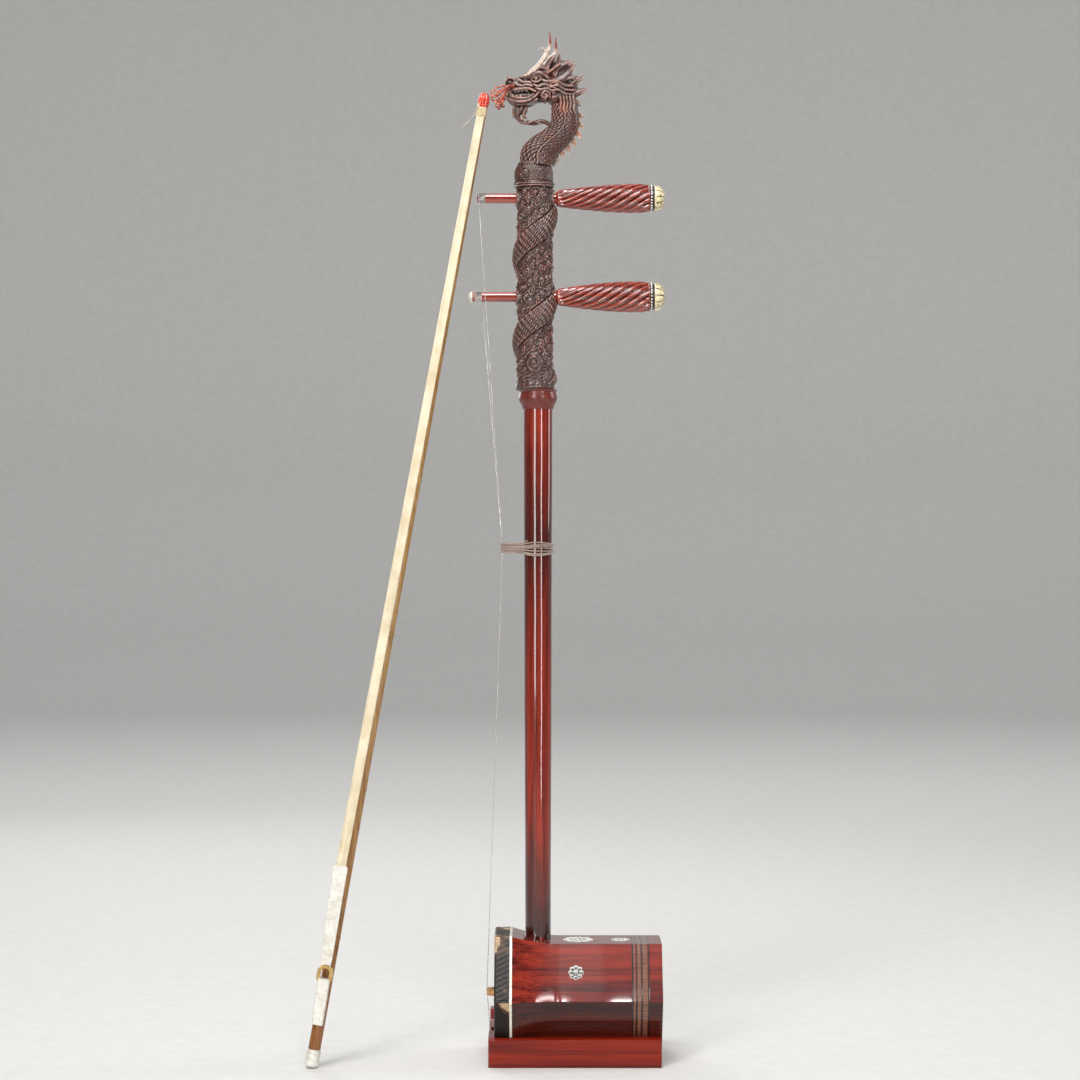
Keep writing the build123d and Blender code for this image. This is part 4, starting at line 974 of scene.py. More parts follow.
def column_relief(z, around):
    """The column's radius: the coiled, scaled body and the clouds and scrolls between."""
    turn = 2 * pi * (z - COIL_START_Z) / COIL_PITCH
    swing = (around - turn + pi) % (2 * pi) - pi
    r_mean = COLUMN_CORE_R + 1.8
    climb = COIL_PITCH / (2 * pi)
    hyp = sqrt(r_mean**2 + climb**2)
    slope = r_mean / hyp
    along = (turn + swing) * hyp + swing * climb * (climb / hyp)
    across = -swing * climb * slope
    base = COLUMN_CORE_R + COIL_RISE * np.maximum(0, np.cos(swing)) ** 2

    share = held(np.abs(across) / COIL_HALF_WIDTH)
    body = np.sqrt(1 - share**2 * 0.96)
    on_body = -0.1 + 0.85 * body + 1.6 * slanted_scales(along, across)

    # between the turns: clouds with scrolls on a staggered lattice, bedded in flowing lines
    gap_swing = (swing % (2 * pi)) - pi
    gap_across = -gap_swing * climb * slope
    gap_along = (turn + swing) * hyp
    flow = np.cos(2 * pi * (gap_across + 1.5 * np.sin(gap_along / 3.1)) / 2.3)
    beads = np.cos(2 * pi * gap_along / 2.1) * np.cos(2 * pi * gap_across / 2.1)
    gap = -0.35 + 0.42 * flow + 0.38 * beads
    scroll = np.zeros_like(gap)
    pattern = np.random.default_rng(21)
    for number in range(-2, 40):
        for lane in (-2, -1, 0, 1, 2):
            at = (number + 0.5 * (lane % 2) + pattern.uniform(-0.18, 0.18)) * 8.4
            side = lane * 8.0 + pattern.uniform(-1.2, 1.2)
            r = pattern.uniform(2.9, 4.9)
            hand = pattern.choice((-1, 1))
            spin = pattern.uniform(0, 2 * pi)
            here = volute(gap_along - at, gap_across - side, r, spin, hand)
            scroll = np.maximum(scroll, here * (0.9 + 0.1 * r / 5))
    gap = np.where(scroll > 0.05, -0.35 + 1.75 * scroll, gap)

    # the near side is left plain along the body's lower edge, with a faint swirl
    near_side = np.abs((around - 1.5 * pi + pi) % (2 * pi) - pi)
    below = -across - COIL_HALF_WIDTH
    ragged = 4.6 + 1.4 * np.sin(around * 5.0 + z / 4.0)
    field = held(below / 0.6) * held((ragged - below) / 1.2) * held((1.15 - near_side) / 0.12)
    swirl = 0.10 * np.cos(2 * pi * (below + 0.8 * np.sin(along / 5)) / 3.4)
    gap = gap * (1 - field) + field * (0.35 + swirl)
    # a plain rim along the body's upper edge
    rim = hump(across - COIL_HALF_WIDTH - 1.5, 0.9)
    gap = gap * (1 - rim) + 0.75 * rim
    edge_groove = 0.95 * hump(np.abs(across) - COIL_HALF_WIDTH - 0.15, 0.5)
    relief = np.where(share < 1, on_body, gap) - edge_groove

    # beady scales over the top, where the neck grows out of the column
    top = held((z - 701.4) / 0.8)
    relief = relief * (1 - top) + top * (0.1 + 1.35 * round_scales(z, around * 15.3, 2.8))

    for at_z, at_x, r in MEDALLIONS:
        centre = 2 * pi - np.arccos(np.clip((at_x - COLUMN_X) / CARVED_R, -1, 1))
        across_here = ((around - centre + pi) % (2 * pi) - pi) * CARVED_R
        up = z - at_z
        mask = np.sqrt(across_here**2 + up**2) < r * 1.12
        relief = np.where(mask, 0.15 + 1.5 * volute(across_here, up, r, 0.4, 1), relief)
    radius = base + relief - 0.6

    # the top is rounded in, so the dragon's neck grows out of it
    radius = radius - 2.0 * held((z - 708.5) / 6.5) ** 2

    # a plain bead and leaf edge at the foot, and rings under the upper medallion
    foot = held((543.5 - z) / 5.0)
    leaf = 14.7 + 1.2 * np.abs(np.sin(around * 6)) ** 0.6 * held((z - 536.5) / 3)
    radius = radius * (1 - foot) + leaf * foot
    bead = hump(z - 536.8, 1.1)
    radius = radius + 0.9 * bead
    for at_z in (700.4, 698.6):
        band = hump(z - at_z - 0.9 * np.sin(around), 0.5)
        radius = np.where(np.abs(z - at_z) < 1.0, np.maximum(radius, 15.0 + 1.0 * band), radius)
    # bosses round the peg holes, and the holes themselves
    for peg in PEGS.values():
        d = np.sqrt((radius * np.sin(around)) ** 2 + (z - peg["z"]) ** 2)
        boss = hump(d - 6.0, 0.9)
        plain = held((7.6 - d) / 1.2)
        radius = radius * (1 - plain) + plain * (14.9 + 1.3 * boss)
        radius = np.where(d < PEG_R + 0.35, 8.5, radius)
    return radius


def column_shape(rows=430, cols=224):
    z = np.linspace(COLUMN_Z[0] - 0.5, COLUMN_Z[1] + 1.5, rows)[:, None]
    around = circle(cols)[None, :]
    radius = column_relief(z, around)
    rings = np.stack([COLUMN_X + radius * np.cos(around), radius * np.sin(around),
                      np.broadcast_to(z, radius.shape)], -1)
    radius = radius + 0.07 * ripple(rings, 2.2, 3)
    rings[..., 0] = COLUMN_X + radius * np.cos(around)
    rings[..., 1] = radius * np.sin(around)
    return skin(rings)


column = piece("carved_column_finished", "carved_column", [column_shape()], carved_dark,
               sharp=180.0)
mark_crests(column.data)

# ------------------------------------------------------------------ dragon's neck and fins
NECK_SECTIONS = (  # x, z, width, depth, lean in degrees
    (-0.6, 715.0, 28.0, 28.0, 0), (0.8, 725.0, 28.4, 27.0, 14), (7.6, 732.5, 26.6, 25.0, 22),
    (15.7, 739.5, 24.0, 23.0, 18), (21.4, 748.5, 22.5, 21.5, 4), (21.2, 764.0, 20.0, 20.0, 0),
)


def dragon_neck_shape(rows=190, cols=224):
    """Scales round the back and sides of the neck, and belly plates like a comb in front."""
    sections = smooth_line([(x, 0, z, w, d, lean) for x, z, w, d, lean in NECK_SECTIONS], rows)
    x, _, z, wide, deep, lean = (column[:, None] for column in sections.T)
    lean = np.radians(lean)
    step = np.linalg.norm(np.diff(sections[:, :3], axis=0), axis=1)
    along = np.concatenate([[0], np.cumsum(step)])[:, None]
    around = circle(cols)[None, :]
    from_front = np.abs(around - pi)
    across = (around - pi) * DRAGON_NECK_R
    plates = (along - 0.9 * from_front * DRAGON_NECK_R) / 3.9
    comb = np.abs(np.sin(pi * plates)) ** 0.6
    scales = round_scales(along + 0.9 * np.sin(across / 5), across, 4.3)
    edge = radians(84)
    beady = 0.82 + 0.18 * np.cos(2 * pi * from_front * DRAGON_NECK_R / 2.6
                                 + pi * np.floor(plates))
    relief = np.where(from_front < edge, -0.1 + 1.55 * comb * beady, -0.05 + 1.5 * scales)
    relief = relief - 0.8 * hump(from_front - edge, 0.035)
    relief = relief + 0.55 * hump(from_front - edge - 0.09, 0.05)
    half_w, half_d = wide / 2 - 0.75 + relief, deep / 2 - 0.75 + relief
    out, side = half_w * np.cos(around), half_d * np.sin(around)
    rings = np.stack([x + out * np.cos(lean), side, z - out * np.sin(lean)], -1)
    return skin(rings)


neck_piece = piece("dragon_neck_finished", "dragon_neck", [dragon_neck_shape()], carved_dark,
                   sharp=180.0)
mark_crests(neck_piece.data)

FIN_ROOTS = (
    (13.0, 722.0, -32), (17.5, 727.0, -38), (22.0, 730.5, -35), (26.5, 735.0, -28),
    (29.8, 741.0, -15), (31.6, 748.0, -5), (31.2, 755.0, 5),
)
fins = []
for x, z, tilt in FIN_ROOTS:
    ahead = np.array([cos(radians(tilt)), 0, sin(radians(tilt))])
    above = np.array([-sin(radians(tilt)), 0, cos(radians(tilt))])
    root = np.array([x, 0, z])
    for lift, size in ((-1.2, 1.0), (0.9, 0.85)):
        points = [(*(root + ahead * a + above * (b + lift)), r * size) for a, b, r in (
            (-4.2, 0.4, 2.1), (-1.0, 1.2, 2.1), (1.8, 0.9, 1.6), (3.9, -0.6, 1.05),
            (5.2, -2.2, 0.35))]
        fins.append(strand(points, 18, 12, flat=0.62, up=above))
piece("dorsal_fins_finished", "dorsal_fins", fins, carved_tan, voxel=0.36)

# ------------------------------------------------------------------ dragon's head
Y = -HEAD_HALF_WIDTH  # the near cheek


def near(*points):
    """Points of a strand given as x, share of the half width, z and radius."""
    return [(x, Y * share, z, r) for x, share, z, r in points]


def fold(*points, **shape):
    """A carved fold on the near side of the head."""
    return strand(near(*points), **shape)


head = [
    blob((5.0, 0, 780.0), (15.5, 10.4, 12.5)),
    blob((-6.0, 0, 781.0), (13.0, 9.0, 6.4), 6),
    blob((-17.0, 0, 779.6), (9.0, 7.4, 5.2), 4),
    blob((14.0, 0, 770.5), (8.0, 9.0, 8.0)),
    blob((-22.4, 0, 781.6), (3.8, 6.2, 3.4)),
    blob((2.0, 0, 791.0), (7.5, 6.0, 5.0)),
]
head += both_sides(
    # nose: a raised nostril, with a bead above the lip and a second fold behind
    blob((-23.2, Y * 0.30, 783.8), (2.9, 2.6, 2.5)),
    fold((-25.8, 0.22, 780.2, 0.9), (-25.2, 0.44, 782.6, 1.0), (-22.6, 0.52, 784.4, 1.1),
         (-19.2, 0.50, 783.2, 1.0), (-18.4, 0.46, 780.8, 0.7)),
    blob((-20.0, Y * 0.66, 777.4), (1.7, 1.5, 1.5)),
    fold((-26.4, 0.20, 777.6, 1.2), (-24.6, 0.42, 775.8, 1.3), (-19.4, 0.66, 774.8, 1.3),
         (-13.0, 0.78, 775.2, 1.25), (-7.0, 0.86, 775.0, 1.15), (-2.0, 0.92, 772.8, 0.9)),
    fold((-18.4, 0.64, 779.6, 0.9), (-13.6, 0.76, 777.6, 1.0), (-8.6, 0.86, 778.2, 1.0),
         (-4.6, 0.92, 777.0, 0.8)),
    fold((-16.0, 0.60, 783.4, 0.9), (-11.6, 0.74, 780.4, 1.0), (-7.2, 0.84, 780.4, 0.9),
         (-5.4, 0.9, 779.0, 0.6)),
    # brow over the eye, running back into the temple, and the lids
    fold((-13.0, 0.56, 785.0, 1.1), (-7.6, 0.74, 784.6, 1.6), (-4.0, 0.90, 786.2, 2.0),
         (1.4, 0.97, 787.2, 2.1), (6.0, 0.90, 785.2, 1.6), (9.4, 0.86, 781.8, 0.9), count=30),
    fold((-10.0, 0.48, 787.2, 1.0), (-4.0, 0.66, 789.8, 1.4), (2.4, 0.76, 791.8, 1.5),
         (7.6, 0.72, 791.0, 0.8)),
    fold((-5.6, 0.88, 782.0, 0.5), (-3.6, 0.98, 784.6, 0.75), (-0.4, 1.0, 785.4, 0.8),
         (2.6, 0.96, 783.2, 0.6), count=20, sides=8),
    fold((-5.6, 0.88, 782.0, 0.5), (-3.4, 0.97, 780.6, 0.75), (0.0, 1.0, 780.4, 0.8),
         (2.8, 0.96, 783.0, 0.6), count=20, sides=8),
    # cheek, its scroll, and folds that run from the mouth's corner
    blob((3.0, Y * 0.62, 776.4), (6.4, 4.2, 5.0)),
    fold((9.4, 0.80, 768.6, 0.9), (8.6, 0.90, 772.2, 1.2), (5.0, 0.95, 772.6, 1.2),
         (3.4, 0.95, 769.4, 1.1), (5.8, 0.95, 767.4, 1.0), (7.4, 0.95, 769.4, 0.9)),
    blob((5.9, Y * 0.93, 769.9), (1.3, 1.1, 1.3)),
    fold((-3.6, 0.90, 778.4, 0.8), (0.0, 0.97, 776.8, 1.1), (4.6, 0.98, 778.2, 1.2),
         (9.6, 0.92, 777.6, 1.0), (15.0, 0.84, 774.6, 0.7)),
    fold((-1.8, 0.92, 775.6, 0.8), (2.6, 0.97, 774.2, 1.0), (7.4, 0.94, 775.0, 1.0),
         (13.4, 0.84, 771.8, 0.6)),
    fold((2.6, 0.94, 782.4, 0.8), (6.6, 0.97, 780.6, 1.2), (11.6, 0.93, 780.8, 1.2),
         (17.0, 0.84, 778.2, 0.8)),
    # ear
    fold((7.0, 0.80, 787.0, 1.4), (11.4, 0.92, 790.0, 1.9), (15.6, 0.94, 793.2, 1.5),
         (19.4, 0.88, 796.4, 0.4), count=24, sides=12, flat=0.6),
)
piece("dragon_head_finished", "dragon_head", head, carved_dark, voxel=0.34)

eyes = []
for side in (-1, 1):
    eyes.append(blob((-1.4, side * 12.0, 782.9), (2.2, 2.0, 2.2), rows=24, sides=32))
piece("dragon_eyes_finished", "dragon_eyes", eyes, eye_bead)

teeth = []
for x, share, z, long in ((-24.6, 0.26, 775.2, 2.6), (-22.2, 0.46, 774.6, 3.2),
                          (-18.6, 0.62, 774.2, 2.0), (-15.4, 0.68, 774.4, 1.8),
                          (-12.2, 0.72, 774.6, 1.7), (-9.0, 0.76, 774.6, 1.6)):
    teeth += both_sides(fold((x, share, z, 0.75), (x - 0.1, share, z - long * 0.5, 0.6),
                             (x + 0.3, share * 0.97, z - long, 0.12), count=10, sides=8))
for x, share, z, long in ((-25.0, 0.34, 770.8, 2.6), (-20.4, 0.56, 769.4, 1.9),
                          (-17.0, 0.62, 769.0, 1.8), (-13.8, 0.68, 769.2, 1.7)):
    teeth += both_sides(fold((x, share, z, 0.7), (x, share, z + long * 0.5, 0.55),
                             (x + 0.2, share * 0.97, z + long, 0.12), count=10, sides=8))
piece("dragon_teeth", "dragon_head", teeth, carved_tan, voxel=0.22,
      soften=1, replaces=False)

jaw = [
    strand([(6.0, 0, 768.5, 4.2), (-2.0, 0, 768.0, 4.0), (-10.0, 0, 766.4, 3.6),
            (-18.0, 0, 766.2, 3.2), (-23.6, 0, 768.4, 2.4)], 30, 24, flat=0.75),
    blob((-10.0, 0, 766.2), (12.0, 8.6, 2.8), -3),
    # tongue, curled up at its tip
    strand([(-2.0, 0, 770.4, 1.6), (-9.0, 0, 770.2, 2.6), (-16.0, 0, 770.6, 2.5),
            (-21.4, 0, 772.4, 1.9), (-23.6, 0, 775.0, 0.9)], 26, 16, flat=0.5, up=(0, 1, 0)),
]
jaw += both_sides(
    fold((-26.4, 0.16, 771.2, 1.1), (-23.0, 0.44, 767.6, 1.25), (-16.4, 0.68, 765.2, 1.3),
         (-8.6, 0.78, 765.6, 1.3), (-2.6, 0.80, 769.0, 1.2), (0.8, 0.80, 772.6, 0.8)),
    fold((-25.6, 0.20, 773.0, 0.9), (-21.6, 0.46, 770.0, 1.0), (-15.6, 0.66, 768.0, 1.1),
         (-8.6, 0.74, 768.0, 1.1), (-3.4, 0.76, 771.0, 0.8)),
    fold((-22.6, 0.34, 765.8, 0.8), (-16.0, 0.56, 763.6, 1.1), (-8.0, 0.66, 763.9, 1.1),
         (-0.6, 0.70, 767.2, 0.8)),
)
piece("dragon_jaw_finished", "dragon_jaw", jaw, carved_dark, voxel=0.34)


# ------------------------------------------------------------------ horns, whiskers, beard
HORN_TIPS = {"near": (9.2, -11.0, 820.4), "far": (14.0, 11.0, 819.8)}
for name, tip in HORN_TIPS.items():
    side = -1 if name == "near" else 1
    shift = tip[0] - HORN_TIPS["near"][0]
    line = smooth_line([(-9.4, side * 6.8, 784.6, 2.5),
                        (-1.4 + shift * 0.3, side * 9.0, 791.8, 2.3),
                        (4.4 + shift * 0.6, side * 10.2, 799.0, 1.9),
                        (8.9 + shift, side * 10.8, 807.4, 1.45),
                        (tip[0] + 0.2, side * 10.9, 814.0, 1.1), (*tip, 0.35)], 90)
    rings = 0.13 * np.sin(np.arange(90) * 1.15) * np.linspace(1, 0.2, 90)
    around = circle(20)
    fluted = line[:, 3:4] + rings[:, None] + 0.07 * np.cos(around * 5)[None] * line[:, 3:4]
    start = line[48]
    branch = strand([(*start[:3], 0.9), (start[0] + 0.2, side * 10.6, start[2] + 3.0, 0.8),
                     (start[0] - 1.2, side * 10.8, start[2] + 5.6, 0.65),
                     (start[0] - 4.2, side * 10.9, start[2] + 6.2, 0.5),
                     (start[0] - 6.2, side * 10.9, start[2] + 4.4, 0.3)], 24)
    piece(f"horn_{name}_finished", f"horn_{name}",
          [tube(line[:, :3], fluted, 20), branch], horn_with_painted_highlight, voxel=0.24,
          soften=2)

for name, side in (("near", -1), ("far", 1)):
    curls = [
        strand([(-19.6, side * 9.0, 777.2, 1.3), (-24.0, side * 12.4, 776.4, 1.3),
                (-29.0, side * 13.0, 772.6, 1.15), (-33.2, side * 12.0, 768.6, 1.0),
                (-36.6, side * 11.2, 769.4, 0.9), (-37.4, side * 10.8, 772.4, 0.8),
                (-35.2, side * 10.6, 774.0, 0.7), (-33.6, side * 10.8, 772.4, 0.5)], 48),
        strand([(-22.0, side * 8.0, 775.0, 1.1), (-25.8, side * 11.0, 772.4, 1.1),
                (-28.6, side * 11.8, 767.6, 1.0), (-31.4, side * 11.6, 763.8, 0.9),
                (-34.2, side * 11.2, 764.4, 0.7), (-34.0, side * 11.0, 766.4, 0.5)], 36),
        strand([(-24.0, side * 6.0, 777.0, 0.9), (-28.4, side * 9.4, 777.6, 0.9),
                (-32.6, side * 10.0, 776.0, 0.8), (-34.6, side * 10.0, 778.4, 0.4)], 28),
        blob((-32.2, side * 12.4, 770.2), (1.5, 1.4, 1.5)),
        blob((-31.5, side * 11.9, 762.9), (1.5, 1.4, 1.4)),
        blob((-28.2, side * 12.0, 764.6), (1.6, 1.4, 1.5)),
    ]
    piece(f"whisker_{name}_finished", f"whisker_{name}", curls, carved_red,
          voxel=0.26, soften=2)

beard = [strand([(-8.8, 0, 749.6, 1.4), (-3.0, 0, 749.0, 1.5), (2.4, 0, 750.6, 1.5),
                 (7.0, 0, 749.4, 1.4), (13.0, 0, 745.4, 1.3)], 30, 12, flat=1.3)]
for side in (-1, 0, 1):
    beard += [
        strand([(-12.6, side * 3.4, 765.6, 1.6), (-13.4, side * 4.2, 760.0, 2.1),
                (-16.6, side * 3.8, 755.0, 1.9), (-14.0, side * 2.8, 750.8, 1.5),
                (-9.2, side * 1.6, 749.0, 1.2), (-3.4, side * 1.4, 750.4, 1.0),
                (2.0, side * 1.0, 748.6, 0.7)], 44),
        strand([(-16.4, side * 3.2, 765.2, 1.4), (-18.8, side * 4.0, 760.6, 1.6),
                (-19.8, side * 3.6, 756.0, 1.2), (-17.8, side * 3.0, 753.2, 0.5)], 28),
        strand([(-10.0, side * 3.6, 764.8, 1.3), (-9.8, side * 4.6, 760.0, 1.5),
                (-11.6, side * 4.4, 755.6, 1.1), (-9.6, side * 3.8, 753.4, 0.5)], 28),
        blob((-13.0, side * 3.4, 751.8), (1.5, 1.4, 1.4)),
    ]
piece("dragon_beard_finished", "dragon_beard", beard, carved_dark,
      voxel=0.32, soften=2)

# ------------------------------------------------------------------ mane
LOCK_TIPS = (  # root x and z, tip x and z, how wide the lock is, and how far its tip bends
    (7.0, 788.0, 12.6, 804.6, 2.9, 1.6), (11.0, 789.0, 19.4, 804.0, 3.0, -1.8),
    (13.0, 786.0, 26.0, 800.6, 3.1, 2.2), (13.0, 782.0, 31.6, 795.4, 3.0, -2.2),
    (13.0, 778.0, 36.6, 787.6, 2.7, 2.2), (12.0, 773.6, 40.6, 773.4, 3.2, -2.6),
    (12.0, 769.6, 35.6, 765.6, 2.7, 1.8), (14.0, 776.0, 33.6, 780.4, 2.6, -1.6),
)
LOCK_PROFILE = ((0.0, 0.8), (0.3, 1.0), (0.6, 0.84), (0.85, 0.48), (1.0, 0.12))
locks = [blob((16.0, 0, 784.5), (11.0, 8.4, 15.5), 14), blob((23.0, 0, 775.0), (9.5, 8.2, 10.0))]
for number, (root_x, root_z, tip_x, tip_z, thick, bend) in enumerate(LOCK_TIPS):
    root, tip = np.array([root_x, root_z]), np.array([tip_x, tip_z])
    reach = tip - root
    aside = np.array([-reach[1], reach[0]]) / np.linalg.norm(reach)
    for lane in (-1.0, -0.36, 0.36, 1.0):
        short = 1.0 - 0.12 * (1 - abs(lane)) * (1 + (number % 3) * 0.6)
        for hair in (-1, 0, 1):
            points = []
            for share, thickness in LOCK_PROFILE:
                away = bend * sin(share * pi * 1.45) + hair * thick * 0.46 * (1 - share) ** 0.6
                x, z = root + reach * share * short + aside * away
                y = lane * (8.4 - 1.0 * share) + hair * 0.35
                points.append((x, y, z, thick * 0.50 * thickness))
            locks.append(strand(points, 22, 9))
locks += both_sides(
    # long wavy strands from behind the eye to the back of the head, and hair down the nape
    fold((3.5, 0.84, 781.6, 0.9), (9.0, 0.90, 779.6, 1.2), (15.0, 0.88, 780.8, 1.3),
         (21.0, 0.84, 777.8, 1.2), (28.0, 0.78, 777.6, 0.7), count=36),
    fold((5.0, 0.86, 778.4, 0.8), (10.0, 0.90, 776.6, 1.1), (16.0, 0.88, 777.6, 1.2),
         (22.0, 0.82, 774.4, 1.1), (30.0, 0.76, 774.0, 0.6), count=36),
    fold((6.0, 0.84, 775.0, 0.8), (11.0, 0.88, 773.4, 1.1), (16.6, 0.86, 774.0, 1.1),
         (22.0, 0.80, 771.2, 1.0), (28.6, 0.74, 770.6, 0.6), count=36),
    fold((22.0, 0.62, 776.0, 0.7), (27.0, 0.72, 779.4, 0.9), (31.6, 0.74, 783.0, 0.8),
         (35.6, 0.70, 786.6, 0.4), count=24),
    *[fold((17.6 + 2.6 * k, 0.80, 769.0, 0.9), (18.4 + 2.6 * k, 0.84, 763.4, 1.0),
           (17.6 + 2.7 * k, 0.84, 758.6, 0.8), (19.4 + 2.7 * k, 0.82, 754.8, 0.3), count=20)
      for k in range(5)],
)
piece("dragon_mane_finished", "dragon_mane", locks, carved_dark, voxel=0.40,
      soften=2)


# ------------------------------------------------------------------ pegs
def handle_radius(x, widest):
    swell_end = 78.0
    rising = 6.8 + (widest - 6.8) * np.sin(
        held((x - HANDLE_X[0]) / (swell_end - HANDLE_X[0])) * pi / 2)
    drawn_in = 1.1 * held((x - swell_end) / (HANDLE_X[1] - swell_end)) ** 2
    return rising - drawn_in


def flutes(x, around):
    """Rounded ridges that wind round the handle, with narrow cuts between."""
    share = (x - HANDLE_X[0]) / (HANDLE_X[1] - HANDLE_X[0])
    wave = np.cos(HANDLE_LOBES * (around + radians(HANDLE_TWIST) * share))
    depth = 2.1 * held((x - HANDLE_X[0] + 0.5) / 5)
    depth = depth * np.clip((HANDLE_X[1] + 0.4 - x) / 1.6, 0.25, 1)
    ridge = np.abs(0.5 + 0.5 * wave) ** 0.45
    return -depth * (1 - ridge)


def facets(x, around):
    """Twelve shell slices round the cap, with a cut between each and the next."""
    slices = np.abs(np.cos(around * 6))
    rise = held((x - CAP_X[0] - 0.8) / 1.2) * held((CAP_X[1] - 0.5 - x) / 1.5)
    return -rise * (0.55 * (1 - slices) ** 1.5 + 0.4 * (slices < 0.12))


for name, peg in PEGS.items():
    node = f"{name}_peg"
    centre = (0, 0, peg["z"])

    x = np.linspace(HANDLE_X[0] - 1.6, HANDLE_X[1], 250)
    crest = handle_radius(x, peg["widest"])
    crest = np.where(x < HANDLE_X[0], 5.2 + 1.6 * held((x - HANDLE_X[0] + 1.6) / 1.6), crest)
    handle = lathe(np.stack([x, crest], 1), centre, (1, 0, 0), 200, flutes)
    shaft_x = np.linspace(peg["front_x"] + 0.9, HANDLE_X[0], 60)
    shaft = [(peg["front_x"], 0.05), (peg["front_x"], PEG_R - 1.0),
             (peg["front_x"] + 0.35, PEG_R - 0.3)]
    shaft += [(at, PEG_R + 0.03 * sin(at / 5)) for at in shaft_x]
    turned = piece(f"{node}_finished", node, [handle, lathe(shaft, centre, (1, 0, 0), 48)],
                   red_pegs, sharp=60.0)
    mark_crests(turned.data)

    ring_r = peg["widest"] - 1.4
    piece(f"{node}_bead_seat", f"{node}_bead_ring",
          [lathe([(89.5, 4.0), (89.5, ring_r - 0.2), (89.9, ring_r), (90.1, ring_r - 0.45),
                  (91.6, ring_r - 0.45), (91.8, ring_r), (92.2, ring_r - 0.2), (92.2, 4.0)],
                 centre, (1, 0, 0), 96)], dark_inlay)
    beads = []
    for count in range(RING_BEADS):
        turn = 2 * pi * count / RING_BEADS
        beads.append(blob((90.85, (ring_r - 0.25) * cos(turn),
                           peg["z"] + (ring_r - 0.25) * sin(turn)), (0.78, 0.85, 0.85),
                          rows=10, sides=14))
    piece(f"{node}_beads", f"{node}_bead_ring", beads, white_edging,
          replaces=False)
    dark_r = peg["widest"] - 1.9
    piece(f"{node}_dark_ring_finished", f"{node}_dark_ring",
          [lathe([(92.2, 4.0), (92.2, dark_r - 0.15), (92.4, dark_r), (93.1, dark_r),
                  (93.3, dark_r - 0.15), (93.3, 4.0)], centre, (1, 0, 0), 96)],
          dark_inlay)

    cap_r = peg["widest"] - 1.3
    along = np.concatenate([np.linspace(CAP_X[0], CAP_X[0] + 1.2, 6),
                            CAP_X[0] + 1.2 + (CAP_X[1] - CAP_X[0] - 1.2)
                            * np.sin(np.linspace(0.05, pi / 2, 42))])
    inward = held((along - CAP_X[0] - 1.2) / (CAP_X[1] - CAP_X[0] - 1.2))
    dome = cap_r * np.sqrt(held(1 - inward**2.2)) ** 0.92
    dome[0], dome[-1] = cap_r - 0.25, 0.15

    cap = piece(f"{node}_cap_finished", f"{node}_cap",
                [lathe(np.stack([along, dome], 1), centre, (1, 0, 0), 144, facets)], cap_pearl,
                sharp=25.0)
    mark_crests(cap.data)

    # the string's end wound round the peg in close turns
    wire = STRINGS["outer_string" if name == "upper" else "inner_string"]["d"] / 2
    first = peg["string_x"] - (0.4 if name == "upper" else 5.6) + wire
    last = first + 6.2 - 2 * wire
    turns = (last - first) / (2.08 * wire)
    count = int(turns * 26)
    share = np.linspace(0, 1, count)
    turn = 2 * pi * turns * share
    layer = PEG_R + wire + peg["wound"] * 0.5 * (0.5 - 0.5 * np.cos(share * 2 * pi))
    coil = np.stack([first + (last - first) * share, layer * np.cos(turn),
                     peg["z"] + layer * np.sin(turn)], 1)
    piece(f"{node}_winding_finished", f"{node}_winding",
          [tube(coil, wire, 7, up=(1, 0, 0))], steel_string)

tip_x = PEGS["lower"]["front_x"]
piece("lower_peg_tip_finished", "lower_peg_tip",
      [lathe([(tip_x, 0.05), (tip_x, PEG_R + 0.2), (tip_x - 0.25, PEG_R + 0.3),
              (tip_x - 1.1, PEG_R + 0.3), (tip_x - 1.4, PEG_R + 0.05), (tip_x - 1.9, PEG_R - 0.5),
              (tip_x - 2.5, PEG_R - 1.7), (tip_x - 2.8, PEG_R - 3.0), (tip_x - 2.9, 0.05)],
             (0, 0, PEGS["lower"]["z"]), (1, 0, 0), 64)], white_edging)


# ------------------------------------------------------------------ strings, nut and bridge
def rounded_route(corners, radius):
    """Straight runs joined by arcs."""
    corners = np.asarray(corners, float)
    points = [corners[0]]
    for before, corner, after in zip(corners[:-2], corners[1:-1], corners[2:]):
        into, away = unit(corner - before), unit(after - corner)
        angle = np.arccos(np.clip(into @ away, -1, 1))
        cut = radius * tan(angle / 2)
        centre = corner + unit(away - into) * radius / cos(angle / 2)
        start = corner - into * cut
        spoke = start - centre
        for share in np.linspace(0, 1, max(3, int(angle * 24))):
            turned = spoke * cos(angle * share) + into * radius * sin(angle * share)
            points.append(centre + turned)
    points.append(corners[-1])
    dense = [points[0]]
    for a, b in zip(points[:-1], points[1:]):
        steps = max(1, int(np.linalg.norm(b - a) / 12))
        dense += [a + (b - a) * k / steps for k in range(1, steps + 1)]
    return np.array(dense)


